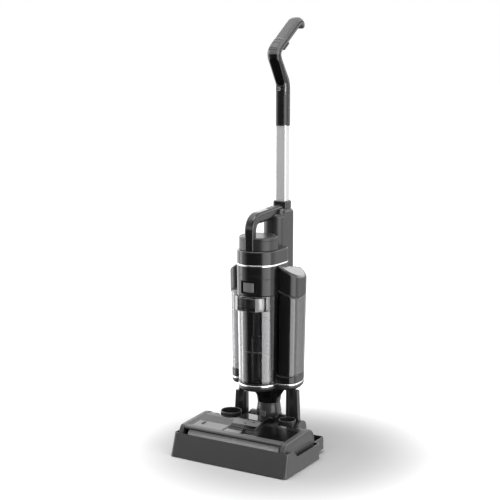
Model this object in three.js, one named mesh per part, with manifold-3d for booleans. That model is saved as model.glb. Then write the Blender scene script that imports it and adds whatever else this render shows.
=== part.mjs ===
// Cordless wet and dry floor scrubber, standing upright in its rinsing dock.
// Millimetres. x points to the right, y to the back, z up; y = 0 is the middle of the dock.

import * as THREE from 'three';
import { mergeVertices } from 'three/addons/utils/BufferGeometryUtils.js';
import Module from 'manifold-3d';

// ---------------------------------------------------------------- clearances
const gap = 0.3;                    // between pieces that rest on or fit into each other
const runningGap = 0.6;             // around pieces that turn or slide

// ---------------------------------------------------------------- dock
const dockFrontSpace = 20;          // in front of the head
const dockBackSpace = 8;            // behind the wheels
const dockFrontHeight = 60.7;       // top of the front wall
const dockSideHeight = 41;          // top of the side walls behind the notch
const dockWall = 3;
const dockFrontLean = 17;           // the front wall leans back by this much
const dockSideLean = 2.8;
const dockCorner = 9;
const dockFloorTop = 19.4;
const notchDistance = 32;           // the side walls fall from here, counted from the front
const notchLength = 25;
const pocketDepth = 52;             // the tray's narrower rear part
const pocketInset = 15;             // it is narrower by this much on each side
const pocketUnderside = 10;
const footHeight = 1.5;
const footInset = 12;
const footWidth = 7;
const rearFootInset = 25;           // sides of the foot's rear loop, inside the pocket's sides
const cupTop = 92;
const cupWall = 2.5;
const cupFloor = 48;
const leftCupRadius = 28;
const leftCupSpace = 4;             // between the cup and the head's outer corner
const leftCupY = 50;
const rightCupRadius = 22.5;
const rightCupSpace = 18.5;
const rightCupY = 56.5;
const postWidth = 33.5;
const postSpace = 26;               // between a post and the head's outer corner
const postFlare = 6;                // the outer side spreads by this much at the foot
const postFront = 80;
const postDepth = 15;
const leftPostTop = 139;
const rightPostTop = 163;
const grooveOffset = 10;            // groove in the front of a post
const grooveWidth = 13;
const grooveDepth = 8;
const ribRadius = 24;               // round-topped rib beside the right post
const ribOffset = 8.5;
const ribThickness = 10;
const ribY = 76;
const ribTop = 88;

// ---------------------------------------------------------------- floor head
const sideCoverThickness = 14;
const headSpace = 14;               // from a side cover to the outside of the dock
const rollerRadius = 28;
const rollerLength = 268;
const rollerEndSpace = 8;           // from the roller's end to the side cover
const rollerY = -63;
const rollerShaftRadius = 5;
const bearingRadius = 10;
const bearingDepth = 5;
const endDiscRadius = 35;           // round front of a side cover
const endDiscLift = 5.3;            // the disc stands this much above the roller's axis
const coverFront = -86;
const coverFrontTop = 80;
const coverBackTop = 85;
const coverBack = 2;
const coverThickness = 3;
const deckBack = 20;
const earBack = 55;                 // the outer corners reach back to here
const earWidth = 22.7;
const earCorner = 34;               // rounding of those corners
const earLift = 10;                 // chamfer under them
const headUnderside = 24;
const scraperThickness = 2.7;
const scraperInset = 6;
const tailHalfWidth = 53.5;
const channelHalfWidth = 38;        // raised suction channel in the middle of the deck
const channelFront = -42;
const channelRise = 10;
const channelBack = 61;
const throatWall = 6;               // around the air's way through the chassis
const throatTop = 62;
const forkInner = 34.3;             // inner sides of the tail's fork
const forkEndRadius = 12;
const wheelRadius = 24;
const wheelY = 86;
const wheelWidth = 14;
const wheelStandOff = 2.5;          // between a wheel and the fork's inner side
const axleRadius = 3;
const brushMotorRadius = 15;
const brushMotorLength = 84;
const brushMotorY = -3;
const brushMotorZ = 48;
const brushMotorSpace = 9.7;        // from its end to the chassis's end
const cradleThickness = 3;
const rollerPulleyRadius = 14;
const motorPulleyRadius = 6;
const beltThickness = 1.5;
const pulleyWidth = 4;
const pulleySpace = 1.5;            // beside a pulley
const beltSpace = 1.2;              // around the belt

// ---------------------------------------------------------------- neck
const neckY = 97;
const hingeZ = 76;
const hingePinRadius = 4;
const hingePinReach = 10;           // length of the pin in each arm of the fork
const barrelRadius = 17;
const yokeTop = 119.7;
const yokeTopRadius = 29;
const hubTopRadius = 54;
const hubBottomRadius = 30;
const hoseRadius = 17;

// ---------------------------------------------------------------- body
const bodyBottom = 168;
const lowerTrim = bodyBottom + 13.3; // underside of the lower silver band
const trimHeight = 4.4;
const trimStandOut = 0.7;
const baseRound = 9;                // rounding under the body
const columnY = 42;                 // axis of the round front column
const columnRadius = 50;            // at the lower band
const columnTopRadius = 54.8;       // at the upper band
const columnHeight = 311.7;         // between the undersides of the two bands
const upperTrim = lowerTrim + columnHeight;
const rearY = 89;                   // centre of the body's round back
const rearRadius = 95.6;            // at the lower band
const rearGrowth = 0.055;           // widening up to the upper band
const rearFront = 47;               // front faces of the wings
const rearCorner = 30;
const shell = 2.5;
const housingWall = 4;
const frameBand = lowerTrim + 22.7; // top of the opaque band under the clean tank
const bayHalfWidth = 48.3;          // bay that takes the dirty tank
const bayBack = 96;
const coreBack = 132.7;             // back of the central frame
const coreHalfWidth = 50.7;
const pumpHalfWidth = 24;
const pumpFloor = frameBand + 20;
const pumpHeight = 44;
const wireHalfWidth = 16;           // shaft for the wires up to the battery
const roofMiddle = upperTrim - 63;  // top of the clean tank beside the frame
const roofSlope = 0.42;             // it falls this much per millimetre outwards
const roofBreak = 56;
const shoulderTop = upperTrim + 1;  // shoulders of the upper housing
const shoulderSlope = 0.52;
const shoulderFall = 0.2;           // fall towards the back
const capBack = 122;
const capCorner = 34;
const capTop = upperTrim + 39;
const drumRadius = 49.5;
const drumTop = capTop + 34;
const lidTop = upperTrim - 75.3;    // top of the dirty tank's lid
const recessHalfWidth = 22;
const recessBottom = lidTop + 5.9;
const recessTop = recessBottom + 33.4;
const recessSurface = 46;           // its flat floor stands this far in front of the column's axis
const latchHalfWidth = 15;
const latchBottom = recessBottom + 4.4;
const latchTop = recessTop - 5;
const latchInset = 1.2;             // the button's face lies this much inside the column's surface
const latchTravel = 2;
const latchStemRadius = 4;
const motorWellRadius = 43;
const motorWellFloor = lidTop + 8.9;
const motorWellTop = capTop - 7;
const motorLow = motorWellFloor + 13.4;
const motorHigh = motorLow + 72;
const motorFlange = 6;              // the motor stands in the well on a flange this wide and high
const impellerRadius = 32;
const intakeRadius = 17;            // air's way from the tank to the impeller

// ---------------------------------------------------------------- tanks
const cleanLidThickness = 3;
const tankBottom = lowerTrim + 9;
const tankTop = lidTop - 37.7;
const lugHalfWidth = 42;
const lugFaceHalfWidth = 25;         // its front face; the rest slants back
const lugStandOut = 9;
const lugSlant = 17;                 // the slanted sides reach back this far
const riserRadius = 11;
const riserCollarRadius = 14.5;
const riserCollarTop = tankBottom + 114.7;
const riserY = 36;
const floatRadius = 8;
const floatHeight = 16;
const floatTop = tankTop - 14;
const floatY = 84;
const floatPinRadius = 2.5;
const filterRadius = 26;
const filterCrown = 8;
const filterY = 52;
const fillerRadius = 15;
const fillerZ = roofMiddle - 58;

// ---------------------------------------------------------------- spine and carrying handle
const spineHalfWidth = 28;
const spineFront = 99;
const spineBack = 191;
const spineBottom = upperTrim - 32;
const spineTop = drumTop + 60;
const spineCorner = 24;
const batteryDepth = 44;
const batteryHeight = 118;
const boardThickness = 2;
const carryWidth = 26;
const carryThickness = 22;
const armThickness = 29;            // the arm is thicker underneath than the leg
const carryLegY = 2;
const carryBend = drumTop + 47;
const carryRise = 9;
const carryEnd = 146;
const releaseLength = 32;
const releaseWidth = 12;

// ---------------------------------------------------------------- tube and handle
const tubeY = 163.3;
const tubeWidth = 31;
const tubeDepth = 25;
const tubeCorner = 5;
const tubeWall = 1.5;
const tubeBottom = spineTop - 50;
const collarWall = 4.4;
const socketTop = spineTop + 15.5;
const socketBottom = spineTop - 22;
const handleBottom = socketTop + 193.9;
const handleWidth = 35;
const handleThickness = 30;
const gripThickness = 22;
const neckBendZ = handleBottom + 107; // the handle leaves the tube's line here
const gripBendZ = neckBendZ + 79;   // and turns back here
const gripTop = gripBendZ + 99;
const gripBendReach = 54;           // in front of the tube's axis
const gripReach = 74.5;             // the grip ends this far behind the tube's axis
const gripNose = 22;
const powerButtonRadius = 6;
const powerButtonX = -2.5;           // a little left of the middle
const powerButtonZ = handleBottom + 94.6;
const far = 400;                    // reach of the blocks that only cut
const high = 1500;

// ---------------------------------------------------------------- finishes
const finishes = {
  dockShell: { color: 0x2c2c2e, roughness: 0.55, metalness: 0.0 },
  satinBlack: { color: 0x1c1c1e, roughness: 0.45, metalness: 0.0 },
  glossBlack: { color: 0x0b0b0c, roughness: 0.12, metalness: 0.0 },
  greyShell: { color: 0x3a3a3d, roughness: 0.5, metalness: 0.0 },
  softTouch: { color: 0x48484a, roughness: 0.8, metalness: 0.0 },
  silver: { color: 0xd9d9dc, roughness: 0.18, metalness: 1.0 },
  anodised: { color: 0xb9bbbe, roughness: 0.32, metalness: 1.0 },
  smoked: { color: 0x55565a, roughness: 0.05, metalness: 0.0, transparent: true, opacity: 0.45 },
  smokedRear: { color: 0x1d1d20, roughness: 0.08, metalness: 0.0, transparent: true, opacity: 0.8 },
  rubber: { color: 0x141414, roughness: 0.9, metalness: 0.0 },
  fleece: { color: 0x8c8c8e, roughness: 1.0, metalness: 0.0 },
  steel: { color: 0x9a9a9c, roughness: 0.3, metalness: 1.0 },
  brass: { color: 0xb08a3c, roughness: 0.3, metalness: 1.0 },
  board: { color: 0x1f5a38, roughness: 0.6, metalness: 0.0 },
  battery: { color: 0x2a4a78, roughness: 0.5, metalness: 0.0 },
  whitePlastic: { color: 0xd8d8d4, roughness: 0.5, metalness: 0.0 },
};

const wasm = await Module();
wasm.setup();

// ---------------------------------------------------------------- solids from geometry
function toSolid(geometry) {
  const bare = geometry.clone();
  bare.deleteAttribute('normal');
  bare.deleteAttribute('uv');
  const welded = mergeVertices(bare, 1e-4);
  return new wasm.Manifold(new wasm.Mesh({
    numProp: 3,
    vertProperties: new Float32Array(welded.attributes.position.array),
    triVerts: new Uint32Array(welded.index.array),
  }));
}

function toGeometry(solid) {
  const mesh = solid.getMesh();
  const geometry = new THREE.BufferGeometry();
  geometry.setAttribute('position', new THREE.BufferAttribute(mesh.vertProperties, 3));
  geometry.setIndex(new THREE.BufferAttribute(mesh.triVerts, 1));
  geometry.computeVertexNormals();
  return geometry;
}

function join(...solids) {
  return solids.reduce((sum, solid) => sum.add(solid));
}

function cut(solid, ...tools) {
  return tools.reduce((rest, tool) => rest.subtract(tool), solid);
}

// ---------------------------------------------------------------- outlines
function polygon(points) {
  return new THREE.Shape(points.map(([a, b]) => new THREE.Vector2(a, b)));
}

function roundedRectangle(left, right, low, high, radius) {
  const r = Math.min(radius, (right - left) / 2, (high - low) / 2);
  const shape = new THREE.Shape();
  shape.moveTo(left + r, low);
  shape.lineTo(right - r, low);
  shape.absarc(right - r, low + r, r, -Math.PI / 2, 0);
  shape.lineTo(right, high - r);
  shape.absarc(right - r, high - r, r, 0, Math.PI / 2);
  shape.lineTo(left + r, high);
  shape.absarc(left + r, high - r, r, Math.PI / 2, Math.PI);
  shape.lineTo(left, low + r);
  shape.absarc(left + r, low + r, r, Math.PI, 1.5 * Math.PI);
  return shape;
}

function disc(x, y, radius) {
  const shape = new THREE.Shape();
  shape.absarc(x, y, radius, 0, 2 * Math.PI);
  return shape;
}

// long arc drawn as several short ones, so that it gets more points than a corner
function longArc(shape, x, y, radius, from, to, pieces) {
  for (let i = 0; i < pieces; i += 1) {
    const start = from + ((to - from) * i) / pieces;
    shape.absarc(x, y, radius, start, from + ((to - from) * (i + 1)) / pieces, to < from);
  }
}

// ---------------------------------------------------------------- prisms along each axis
function extrude(shape, length, curveSegments, bevel = 0) {
  return new THREE.ExtrudeGeometry(shape, {
    depth: length - 2 * bevel,
    curveSegments,
    bevelEnabled: bevel > 0,
    bevelThickness: bevel,
    bevelSize: bevel,
    bevelOffset: -bevel,
    bevelSegments: 2,
  }).translate(0, 0, bevel);
}

// outline in x and y, from low to high in z
function upright(shape, low, high, curveSegments = 2, bevel = 0) {
  return toSolid(extrude(shape, high - low, curveSegments, bevel).translate(0, 0, low));
}

// outline in y and z, from left to right in x
function across(shape, left, right, curveSegments = 2, bevel = 0) {
  const turn = new THREE.Matrix4().makeBasis(
    new THREE.Vector3(0, 1, 0),
    new THREE.Vector3(0, 0, 1),
    new THREE.Vector3(1, 0, 0),
  );
  const geometry = extrude(shape, right - left, curveSegments, bevel);
  return toSolid(geometry.applyMatrix4(turn).translate(left, 0, 0));
}

// outline in x and z, from front to back in y
function lengthwise(shape, front, back, curveSegments = 2, bevel = 0) {
  const geometry = extrude(shape, back - front, curveSegments, bevel);
  return toSolid(geometry.rotateX(Math.PI / 2).translate(0, back, 0));
}

function box(left, right, front, back, low, high) {
  const geometry = new THREE.BoxGeometry(right - left, back - front, high - low);
  return toSolid(geometry.translate((left + right) / 2, (front + back) / 2, (low + high) / 2));
}

// round bar along x through (y, z)
function barX(left, right, y, z, radius, sides = 20) {
  const geometry = new THREE.CylinderGeometry(radius, radius, right - left, sides);
  return toSolid(geometry.rotateZ(Math.PI / 2).translate((left + right) / 2, y, z));
}

// upright round bar or cone through (x, y)
function barZ(x, y, low, high, lowRadius, highRadius = lowRadius, sides = 24) {
  const geometry = new THREE.CylinderGeometry(highRadius, lowRadius, high - low, sides);
  return toSolid(geometry.rotateX(Math.PI / 2).translate(x, y, (low + high) / 2));
}

// round bar along y through (x, z)
function barY(x, front, back, z, radius, sides = 24) {
  const geometry = new THREE.CylinderGeometry(radius, radius, back - front, sides);
  return toSolid(geometry.translate(x, (front + back) / 2, z));
}

// profile of [radius, z] turned about the upright axis through (x, y)
function turned(profile, x, y, sides = 32) {
  const points = profile.map(([radius, z]) => new THREE.Vector2(radius, z));
  points.push(points[0].clone());
  return toSolid(new THREE.LatheGeometry(points, sides).rotateX(Math.PI / 2).translate(x, y, 0));
}

// a solid made for the right side, and its mirror image
function pair(solid) {
  return [solid, solid.mirror([1, 0, 0])];
}

function onSide(side, solid) {
  return side > 0 ? solid : solid.mirror([1, 0, 0]);
}

// ---------------------------------------------------------------- a strip that follows a path in y and z
function roundedPath(points, cuts) {
  const path = new THREE.Path();
  path.moveTo(points[0].x, points[0].y);
  for (let i = 1; i < points.length - 1; i += 1) {
    const toward = (other) => points[i].clone().lerp(other, cuts[i - 1] / points[i].distanceTo(other));
    const before = toward(points[i - 1]);
    const after = toward(points[i + 1]);
    path.lineTo(before.x, before.y);
    path.quadraticCurveTo(points[i].x, points[i].y, after.x, after.y);
  }
  const last = points[points.length - 1];
  path.lineTo(last.x, last.y);
  return path;
}

// outline between two offsets (to the left of the path's direction) from u = start to u = end
function strip(path, start, end, low, high, steps) {
  const lowSide = [];
  const highSide = [];
  for (let i = 0; i <= steps; i += 1) {
    const u = start + (end - start) * (i / steps);
    const point = path.getPointAt(u);
    const along = path.getTangentAt(u);
    const normal = new THREE.Vector2(-along.y, along.x);
    lowSide.push(point.clone().addScaledVector(normal, low(u)));
    highSide.push(point.clone().addScaledVector(normal, high(u)));
  }
  return new THREE.Shape([...lowSide, ...highSide.reverse()]);
}

// ---------------------------------------------------------------- scene graph
const part = new THREE.Group();

function add(name, finish, solid) {
  const mesh = new THREE.Mesh(toGeometry(solid), new THREE.MeshStandardMaterial(finishes[finish]));
  mesh.name = name;
  part.add(mesh);
  return solid;
}

// ================================================================ dock
const headDepth = endDiscRadius - rollerY + wheelY + wheelRadius;
const dockDepth = dockFrontSpace + headDepth + dockBackSpace;
const dockFront = rollerY - endDiscRadius - dockFrontSpace;
const dockBack = dockFront + dockDepth;
const dockMainBack = dockBack - pocketDepth;
const notchFront = dockFront + notchDistance;
const notchBack = notchFront + notchLength;
const innerHalf = rollerLength / 2 + rollerEndSpace;      // inner faces of the side covers
const headHalfWidth = innerHalf + sideCoverThickness;
const chassisHalf = innerHalf - gap;
const earInner = chassisHalf - earWidth;
const dockWidth = 2 * (headHalfWidth + headSpace);
const pocketWidth = dockWidth - 2 * pocketInset;
const halfDock = dockWidth / 2;
const halfPocket = pocketWidth / 2;
const leftCupX = -(earInner - leftCupSpace - leftCupRadius);
const rightCupX = earInner - rightCupSpace - rightCupRadius;
const postOuter = earInner - postSpace;
const postInner = postOuter - postWidth;
const grooveInner = postInner + grooveOffset;
const grooveOuter = grooveInner + grooveWidth;
const ribInner = postOuter + ribOffset;
const floorUnderside = dockFloorTop - dockWall;

// wide part of the tray: its top is narrower and further back than its foot
function dockBlock(inset, low, high) {
  const outline = roundedRectangle(
    -halfDock + inset, halfDock - inset, dockFront + inset, dockMainBack - inset, dockCorner - inset,
  );
  const geometry = extrude(outline, high - low, 2).translate(0, 0, low);
  const position = geometry.attributes.position;
  for (let i = 0; i < position.count; i += 1) {
    const lift = position.getZ(i) / dockFrontHeight;
    const fromBack = (position.getY(i) - dockMainBack) / (dockFront - dockMainBack);
    position.setX(i, position.getX(i) * (1 - (dockSideLean / halfDock) * lift));
    position.setY(i, position.getY(i) + dockFrontLean * lift * fromBack);
  }
  return toSolid(geometry);
}

function dockTray() {
  const above = dockFrontHeight + 1;
  const main = cut(
    dockBlock(0, footHeight, dockFrontHeight),
    dockBlock(dockWall, dockFloorTop, above),
    dockBlock(dockWall, 0, floorUnderside),
  );
  const pocket = cut(
    across(roundedRectangle(dockMainBack - dockWall, dockBack, pocketUnderside, dockSideHeight + 12, 7),
      -halfPocket, halfPocket),
    box(-halfPocket + dockWall, halfPocket - dockWall, dockMainBack - 2 * dockWall, dockBack - dockWall,
      dockFloorTop, above),
  );
  const passage = box(
    -halfPocket + dockWall, halfPocket - dockWall, dockMainBack - 2 * dockWall, dockMainBack,
    dockFloorTop, above,
  );
  const notch = across(
    polygon([
      [notchFront, above], [notchFront, dockFrontHeight], [notchBack, dockSideHeight],
      [dockBack + 1, dockSideHeight], [dockBack + 1, above],
    ]),
    -halfDock - 1, halfDock + 1,
  );
  const footRoom = dockFootArms(gap).intersect(
    box(-far, far, dockMainBack - 2 * dockWall, dockMainBack, -1, pocketUnderside),
  );
  return cut(join(main, pocket), passage, notch, footRoom);
}

function dockCup(x, y, radius) {
  return turned([
    [radius - cupWall, dockFloorTop + gap], [radius, dockFloorTop + gap], [radius, cupTop],
    [radius - cupWall, cupTop], [radius - cupWall, cupFloor], [0, cupFloor],
    [0, cupFloor - cupWall], [radius - cupWall, cupFloor - cupWall],
  ], x, y, 24);
}

function dockPost(side, top) {
  const foot = dockFloorTop + gap;
  const outline = polygon([
    [postInner, foot], [postOuter + postFlare, foot], [postOuter, top], [postInner, top],
  ]);
  const groove = box(
    grooveInner, grooveOuter, postFront - 1, postFront + grooveDepth, dockSideHeight, top + 1,
  );
  const post = lengthwise(outline, postFront, postFront + postDepth).subtract(groove);
  return onSide(side, post);
}

// round-topped rib that stands beside the right post and is moulded to it
function postRib() {
  const foot = dockFloorTop + gap;
  const centre = ribTop - ribRadius;
  const shape = new THREE.Shape();
  shape.moveTo(ribY - ribRadius, foot);
  shape.lineTo(ribY + ribRadius, foot);
  shape.absarc(ribY, centre, ribRadius, 0, Math.PI);
  const web = box(
    postOuter, ribInner + 1, postFront + 2, postFront + postDepth - 2, foot, centre + ribRadius / 2,
  );
  return join(across(shape, ribInner, ribInner + ribThickness, 6), web);
}

// contact bar that stands in a post's groove and reaches the body's underside
function contactBar(side) {
  const inner = side * (grooveInner + gap);
  const outer = side * (grooveOuter - gap);
  return box(
    Math.min(inner, outer), Math.max(inner, outer), postFront + 1, postFront + grooveDepth - gap,
    dockSideHeight + gap, bodyBottom - 2 * gap,
  );
}

// rear loop of the foot, under the pocket: it keeps the machine from tipping backwards
function dockFootArms(extra = 0) {
  const loop = (inset) => upright(
    roundedRectangle(
      -halfPocket + rearFootInset + inset, halfPocket - rearFootInset - inset,
      dockMainBack - footInset - footWidth + inset, dockBack - footInset - inset, dockCorner,
    ),
    0, pocketUnderside - gap + extra,
  );
  return cut(loop(-extra), loop(footWidth + extra));
}

// rubber frame let into the underside of the tray
function dockFoot() {
  const frame = (inset) => upright(
    roundedRectangle(
      -halfDock + inset, halfDock - inset, dockFront + inset, dockMainBack - inset, dockCorner,
    ),
    0, floorUnderside - gap,
  );
  return join(cut(frame(footInset), frame(footInset + footWidth)), dockFootArms());
}

add('dock_tray', 'dockShell', dockTray());
add('dock_cup_left', 'satinBlack', dockCup(leftCupX, leftCupY, leftCupRadius));
add('dock_cup_right', 'satinBlack', dockCup(rightCupX, rightCupY, rightCupRadius));
add('dock_post_left', 'dockShell', dockPost(-1, leftPostTop));
add('dock_post_right', 'dockShell', join(dockPost(1, rightPostTop), postRib()));
add('dock_contact_left', 'satinBlack', contactBar(-1));
add('dock_contact_right', 'satinBlack', contactBar(1));
add('dock_foot', 'rubber', dockFoot());

// ================================================================ floor head
const headFloor = dockFloorTop + gap;
const rollerZ = headFloor + rollerRadius;
const wheelZ = headFloor + wheelRadius;
const endDiscZ = rollerZ + endDiscLift;
const chamberRadius = rollerRadius + 8;
const barFront = rollerY + chamberRadius - 1;             // front of the chassis behind the roller
const deckTop = coverBackTop;
const channelTop = deckTop + channelRise;
const wheelInner = forkInner + wheelStandOff;
const hingePinEnd = forkInner + hingePinReach;
const pulleyLeft = innerHalf + pulleySpace;
const pulleyRight = pulleyLeft + pulleyWidth;
const bearingLeft = pulleyRight + 1;
const brushMotorRight = chassisHalf - brushMotorSpace;
const brushMotorLeft = brushMotorRight - brushMotorLength;

// side outline of the head: round front, gently rising top, round back corner
function sideOutline(inset) {
  const shape = new THREE.Shape();
  const low = headUnderside - 2 + inset;
  const radius = endDiscRadius - inset;
  const start = Math.asin((low - endDiscZ) / radius);
  const top = deckTop - inset;
  const meet = Math.asin(Math.min(1, (coverFrontTop - inset - endDiscZ) / radius));
  const back = earBack + 4 - inset;
  shape.moveTo(rollerY - radius * Math.cos(start), low);
  shape.absarc(rollerY, endDiscZ, radius, Math.PI - start, meet, true);
  shape.lineTo(deckBack, top);
  shape.lineTo(back - earCorner, top);
  shape.absarc(back - earCorner, top - earCorner, earCorner, Math.PI / 2, 0, true);
  shape.lineTo(back, low + earLift);
  shape.lineTo(back - earLift, low);
  shape.closePath();
  return shape;
}

// top surface of the roller cover and the deck behind it
function roofLine(y) {
  const share = (y - coverFront) / (deckBack - coverFront);
  return coverFrontTop + (coverBackTop - coverFrontTop) * share;
}

// air's way through the chassis, from behind the roller to the raised channel
function throat(front, back) {
  const half = channelHalfWidth - throatWall;
  return box(-half, half, front, back, headUnderside + throatWall, throatTop);
}

function chassis() {
  const under = coverThickness + gap;
  const bar = across(
    polygon([
      [barFront, headUnderside], [deckBack, headUnderside], [deckBack, roofLine(deckBack) - under],
      [barFront, roofLine(barFront) - under],
    ]),
    -chassisHalf, chassisHalf,
  );
  const hollow = box(
    channelHalfWidth + shell, chassisHalf - shell, barFront + 2 * shell, deckBack - shell,
    headUnderside + shell, deckTop,
  );
  const chamber = barX(-chassisHalf - 1, chassisHalf + 1, rollerY, rollerZ, chamberRadius, 28);
  const ear = across(sideOutline(pulleySpace), earInner, chassisHalf, 3)
    .intersect(box(earInner - 1, chassisHalf + 1, deckBack - shell, far, 0, high))
    .subtract(deck(gap));
  const shaftHole = barX(chassisHalf - 2 * shell, chassisHalf + 1, brushMotorY, brushMotorZ, 5, 16);
  const body = cut(
    join(bar, ...pair(ear), tail()), ...pair(hollow), chamber, throat(barFront - 2, deckBack + 1), shaftHole,
  );
  return join(body, ...brushMotorCradles());
}

// two saddles that carry the brush motor in the chassis
function brushMotorCradles() {
  const motor = barX(
    brushMotorLeft - 1, brushMotorRight + 1, brushMotorY, brushMotorZ, brushMotorRadius + gap, 24,
  );
  const starts = [brushMotorLeft + cradleThickness, brushMotorRight - 2 * cradleThickness];
  const front = brushMotorY - brushMotorRadius;
  return starts.map((left) => cut(
    box(left, left + cradleThickness, front, deckBack - 1, headUnderside + 1, brushMotorZ),
    motor,
  ));
}

// tail with a fork for the neck and a well for each wheel
function tail() {
  const low = headUnderside + 4;
  const front = deckBack - 2;
  const fork = new THREE.Shape();
  fork.moveTo(front, low);
  fork.lineTo(wheelY + throatWall, low);
  fork.absarc(wheelY, wheelZ, wheelRadius + 3, -0.9, 0.4);
  fork.absarc(neckY, hingeZ, forkEndRadius, 0.4, Math.PI / 2 + 0.3);
  fork.lineTo(channelBack + 2, hingeZ);
  fork.lineTo(front, hingeZ);
  fork.closePath();
  const middle = box(-forkInner, forkInner, front, channelBack, low, hingeZ);
  const well = barX(
    wheelInner - runningGap, tailHalfWidth - 1.2, wheelY, wheelZ, wheelRadius + 1, 24,
  );
  const pinEnd = hingePinEnd + gap;
  const pinHole = barX(-pinEnd, pinEnd, neckY, hingeZ, hingePinRadius + gap, 16);
  const axleHole = barX(-tailHalfWidth - 1, tailHalfWidth + 1, wheelY, wheelZ, axleRadius + gap, 12);
  const whole = join(middle, ...pair(across(fork, forkInner, tailHalfWidth, 4)));
  return cut(whole, throat(deckBack - 3, channelBack + 1), ...pair(well), pinHole, axleHole);
}

function deck(extra = 0) {
  const low = roofLine(coverBack) - coverThickness - extra;
  return across(
    polygon([
      [coverBack + gap - extra, low], [deckBack + extra, roofLine(deckBack) - coverThickness - extra],
      [deckBack + extra, roofLine(deckBack) + extra], [coverBack + gap - extra, roofLine(coverBack) + extra],
    ]),
    -chassisHalf, chassisHalf,
  );
}

// raised channel that leads the suction air back to the neck, widened by extra
function channelOutline(extra) {
  const base = hingeZ + gap;
  const foot = deckBack + gap;
  return across(
    polygon([
      [channelFront - extra, roofLine(channelFront) - coverThickness - extra],
      [channelFront - extra, roofLine(channelFront) + 0.5],
      [coverBack - 4, channelTop + extra],
      [foot + 20, channelTop + extra],
      [channelBack + extra, base + 8],
      [channelBack + extra, base],
      [foot, base],
      [foot, roofLine(deckBack) - coverThickness - extra],
    ]),
    -channelHalfWidth - extra, channelHalfWidth + extra,
  );
}

function suctionChannel() {
  const front = channelFront + 4;
  const back = channelBack - 5;
  const foot = deckBack + 5;
  const hollow = across(
    polygon([
      [front, roofLine(front) - coverThickness + 1], [coverBack - 6, channelTop - coverThickness],
      [foot + 13, channelTop - coverThickness], [back, hingeZ + 5], [back, hingeZ - 1],
      [foot, hingeZ - 1], [foot, hingeZ + 2], [front, headUnderside + 50],
    ]),
    -channelHalfWidth + shell, channelHalfWidth - shell,
  );
  return cut(channelOutline(0), deck(gap), hollow);
}

function rollerCover() {
  const lip = coverFrontTop - 8;
  const sheet = across(
    polygon([
      [coverFront - 4, lip], [coverFront - 1, lip], [coverFront + 4, coverFrontTop - coverThickness],
      [coverBack, roofLine(coverBack) - coverThickness], [coverBack, roofLine(coverBack)],
      [coverFront + 3, coverFrontTop],
    ]),
    -chassisHalf, chassisHalf,
  );
  return sheet.subtract(channelOutline(gap));
}

function sideCover(side) {
  const plate = across(sideOutline(0), innerHalf, headHalfWidth, 5, 1.5);
  if (side > 0) {
    const seatEnd = bearingLeft + bearingDepth + gap;
    const seat = barX(innerHalf, seatEnd, rollerY, rollerZ, bearingRadius + gap, 20);
    return cut(plate, seat, beltPocket());
  }
  const bush = barX(innerHalf - 1, innerHalf + 6, rollerY, rollerZ, rollerShaftRadius + gap, 16);
  return cut(plate, bush).mirror([1, 0, 0]);
}

// loop around both pulleys, widened by extra
function beltOutline(extra) {
  const shape = new THREE.Shape();
  const dy = brushMotorY - rollerY;
  const dz = brushMotorZ - rollerZ;
  const reach = Math.hypot(dy, dz);
  const heading = Math.atan2(dz, dy);
  const spread = Math.acos((rollerPulleyRadius - motorPulleyRadius) / reach);
  const start = heading + spread;
  shape.absarc(rollerY, rollerZ, rollerPulleyRadius + extra, start, heading - spread + 2 * Math.PI);
  shape.absarc(brushMotorY, brushMotorZ, motorPulleyRadius + extra, heading - spread, start);
  shape.closePath();
  return shape;
}

function beltPocket() {
  return across(beltOutline(beltThickness + beltSpace), innerHalf - 1, pulleyRight + 0.8, 5);
}

function driveBelt() {
  return across(beltOutline(beltThickness + gap), pulleyLeft, pulleyRight, 5)
    .subtract(across(beltOutline(gap), pulleyLeft - 1, pulleyRight + 1, 5));
}

add('head_chassis', 'satinBlack', chassis());
add('head_deck', 'glossBlack', deck());
add('suction_channel', 'glossBlack', suctionChannel());
add('roller_cover', 'smoked', rollerCover());
add('side_cover_left', 'greyShell', sideCover(-1));
add('side_cover_right', 'greyShell', sideCover(1));
add('brush_roller', 'fleece', cut(
  barX(-rollerLength / 2, rollerLength / 2, rollerY, rollerZ, rollerRadius, 32),
  barX(-rollerLength / 2 - 1, rollerLength / 2 + 1, rollerY, rollerZ, rollerRadius - 6, 24),
));
add('roller_core', 'satinBlack', join(
  barX(-rollerLength / 2, rollerLength / 2, rollerY, rollerZ, rollerRadius - 6 - gap, 24),
  barX(-innerHalf + 1, innerHalf - 1, rollerY, rollerZ, 18, 6),
  barX(-innerHalf - 5, bearingLeft + bearingDepth, rollerY, rollerZ, rollerShaftRadius, 16),
  barX(pulleyLeft, pulleyRight, rollerY, rollerZ, rollerPulleyRadius, 24),
));
add('motor_pulley', 'brass', join(
  barX(pulleyLeft, pulleyRight, brushMotorY, brushMotorZ, motorPulleyRadius, 16),
  barX(brushMotorRight + gap, pulleyLeft + 1, brushMotorY, brushMotorZ, 2, 12),
));
add('drive_belt', 'rubber', driveBelt());
add('brush_motor', 'steel', barX(
  brushMotorLeft, brushMotorRight, brushMotorY, brushMotorZ, brushMotorRadius, 24,
));

function wheel(side) {
  const tread = cut(
    barX(wheelInner, wheelInner + wheelWidth, wheelY, wheelZ, wheelRadius, 28),
    barX(wheelInner - 1, wheelInner + wheelWidth + 1, wheelY, wheelZ, axleRadius + gap, 12),
  );
  return onSide(side, tread);
}

function bearing() {
  return cut(
    barX(bearingLeft, bearingLeft + bearingDepth, rollerY, rollerZ, bearingRadius, 20),
    barX(innerHalf, headHalfWidth, rollerY, rollerZ, rollerShaftRadius + gap, 16),
  );
}

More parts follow.
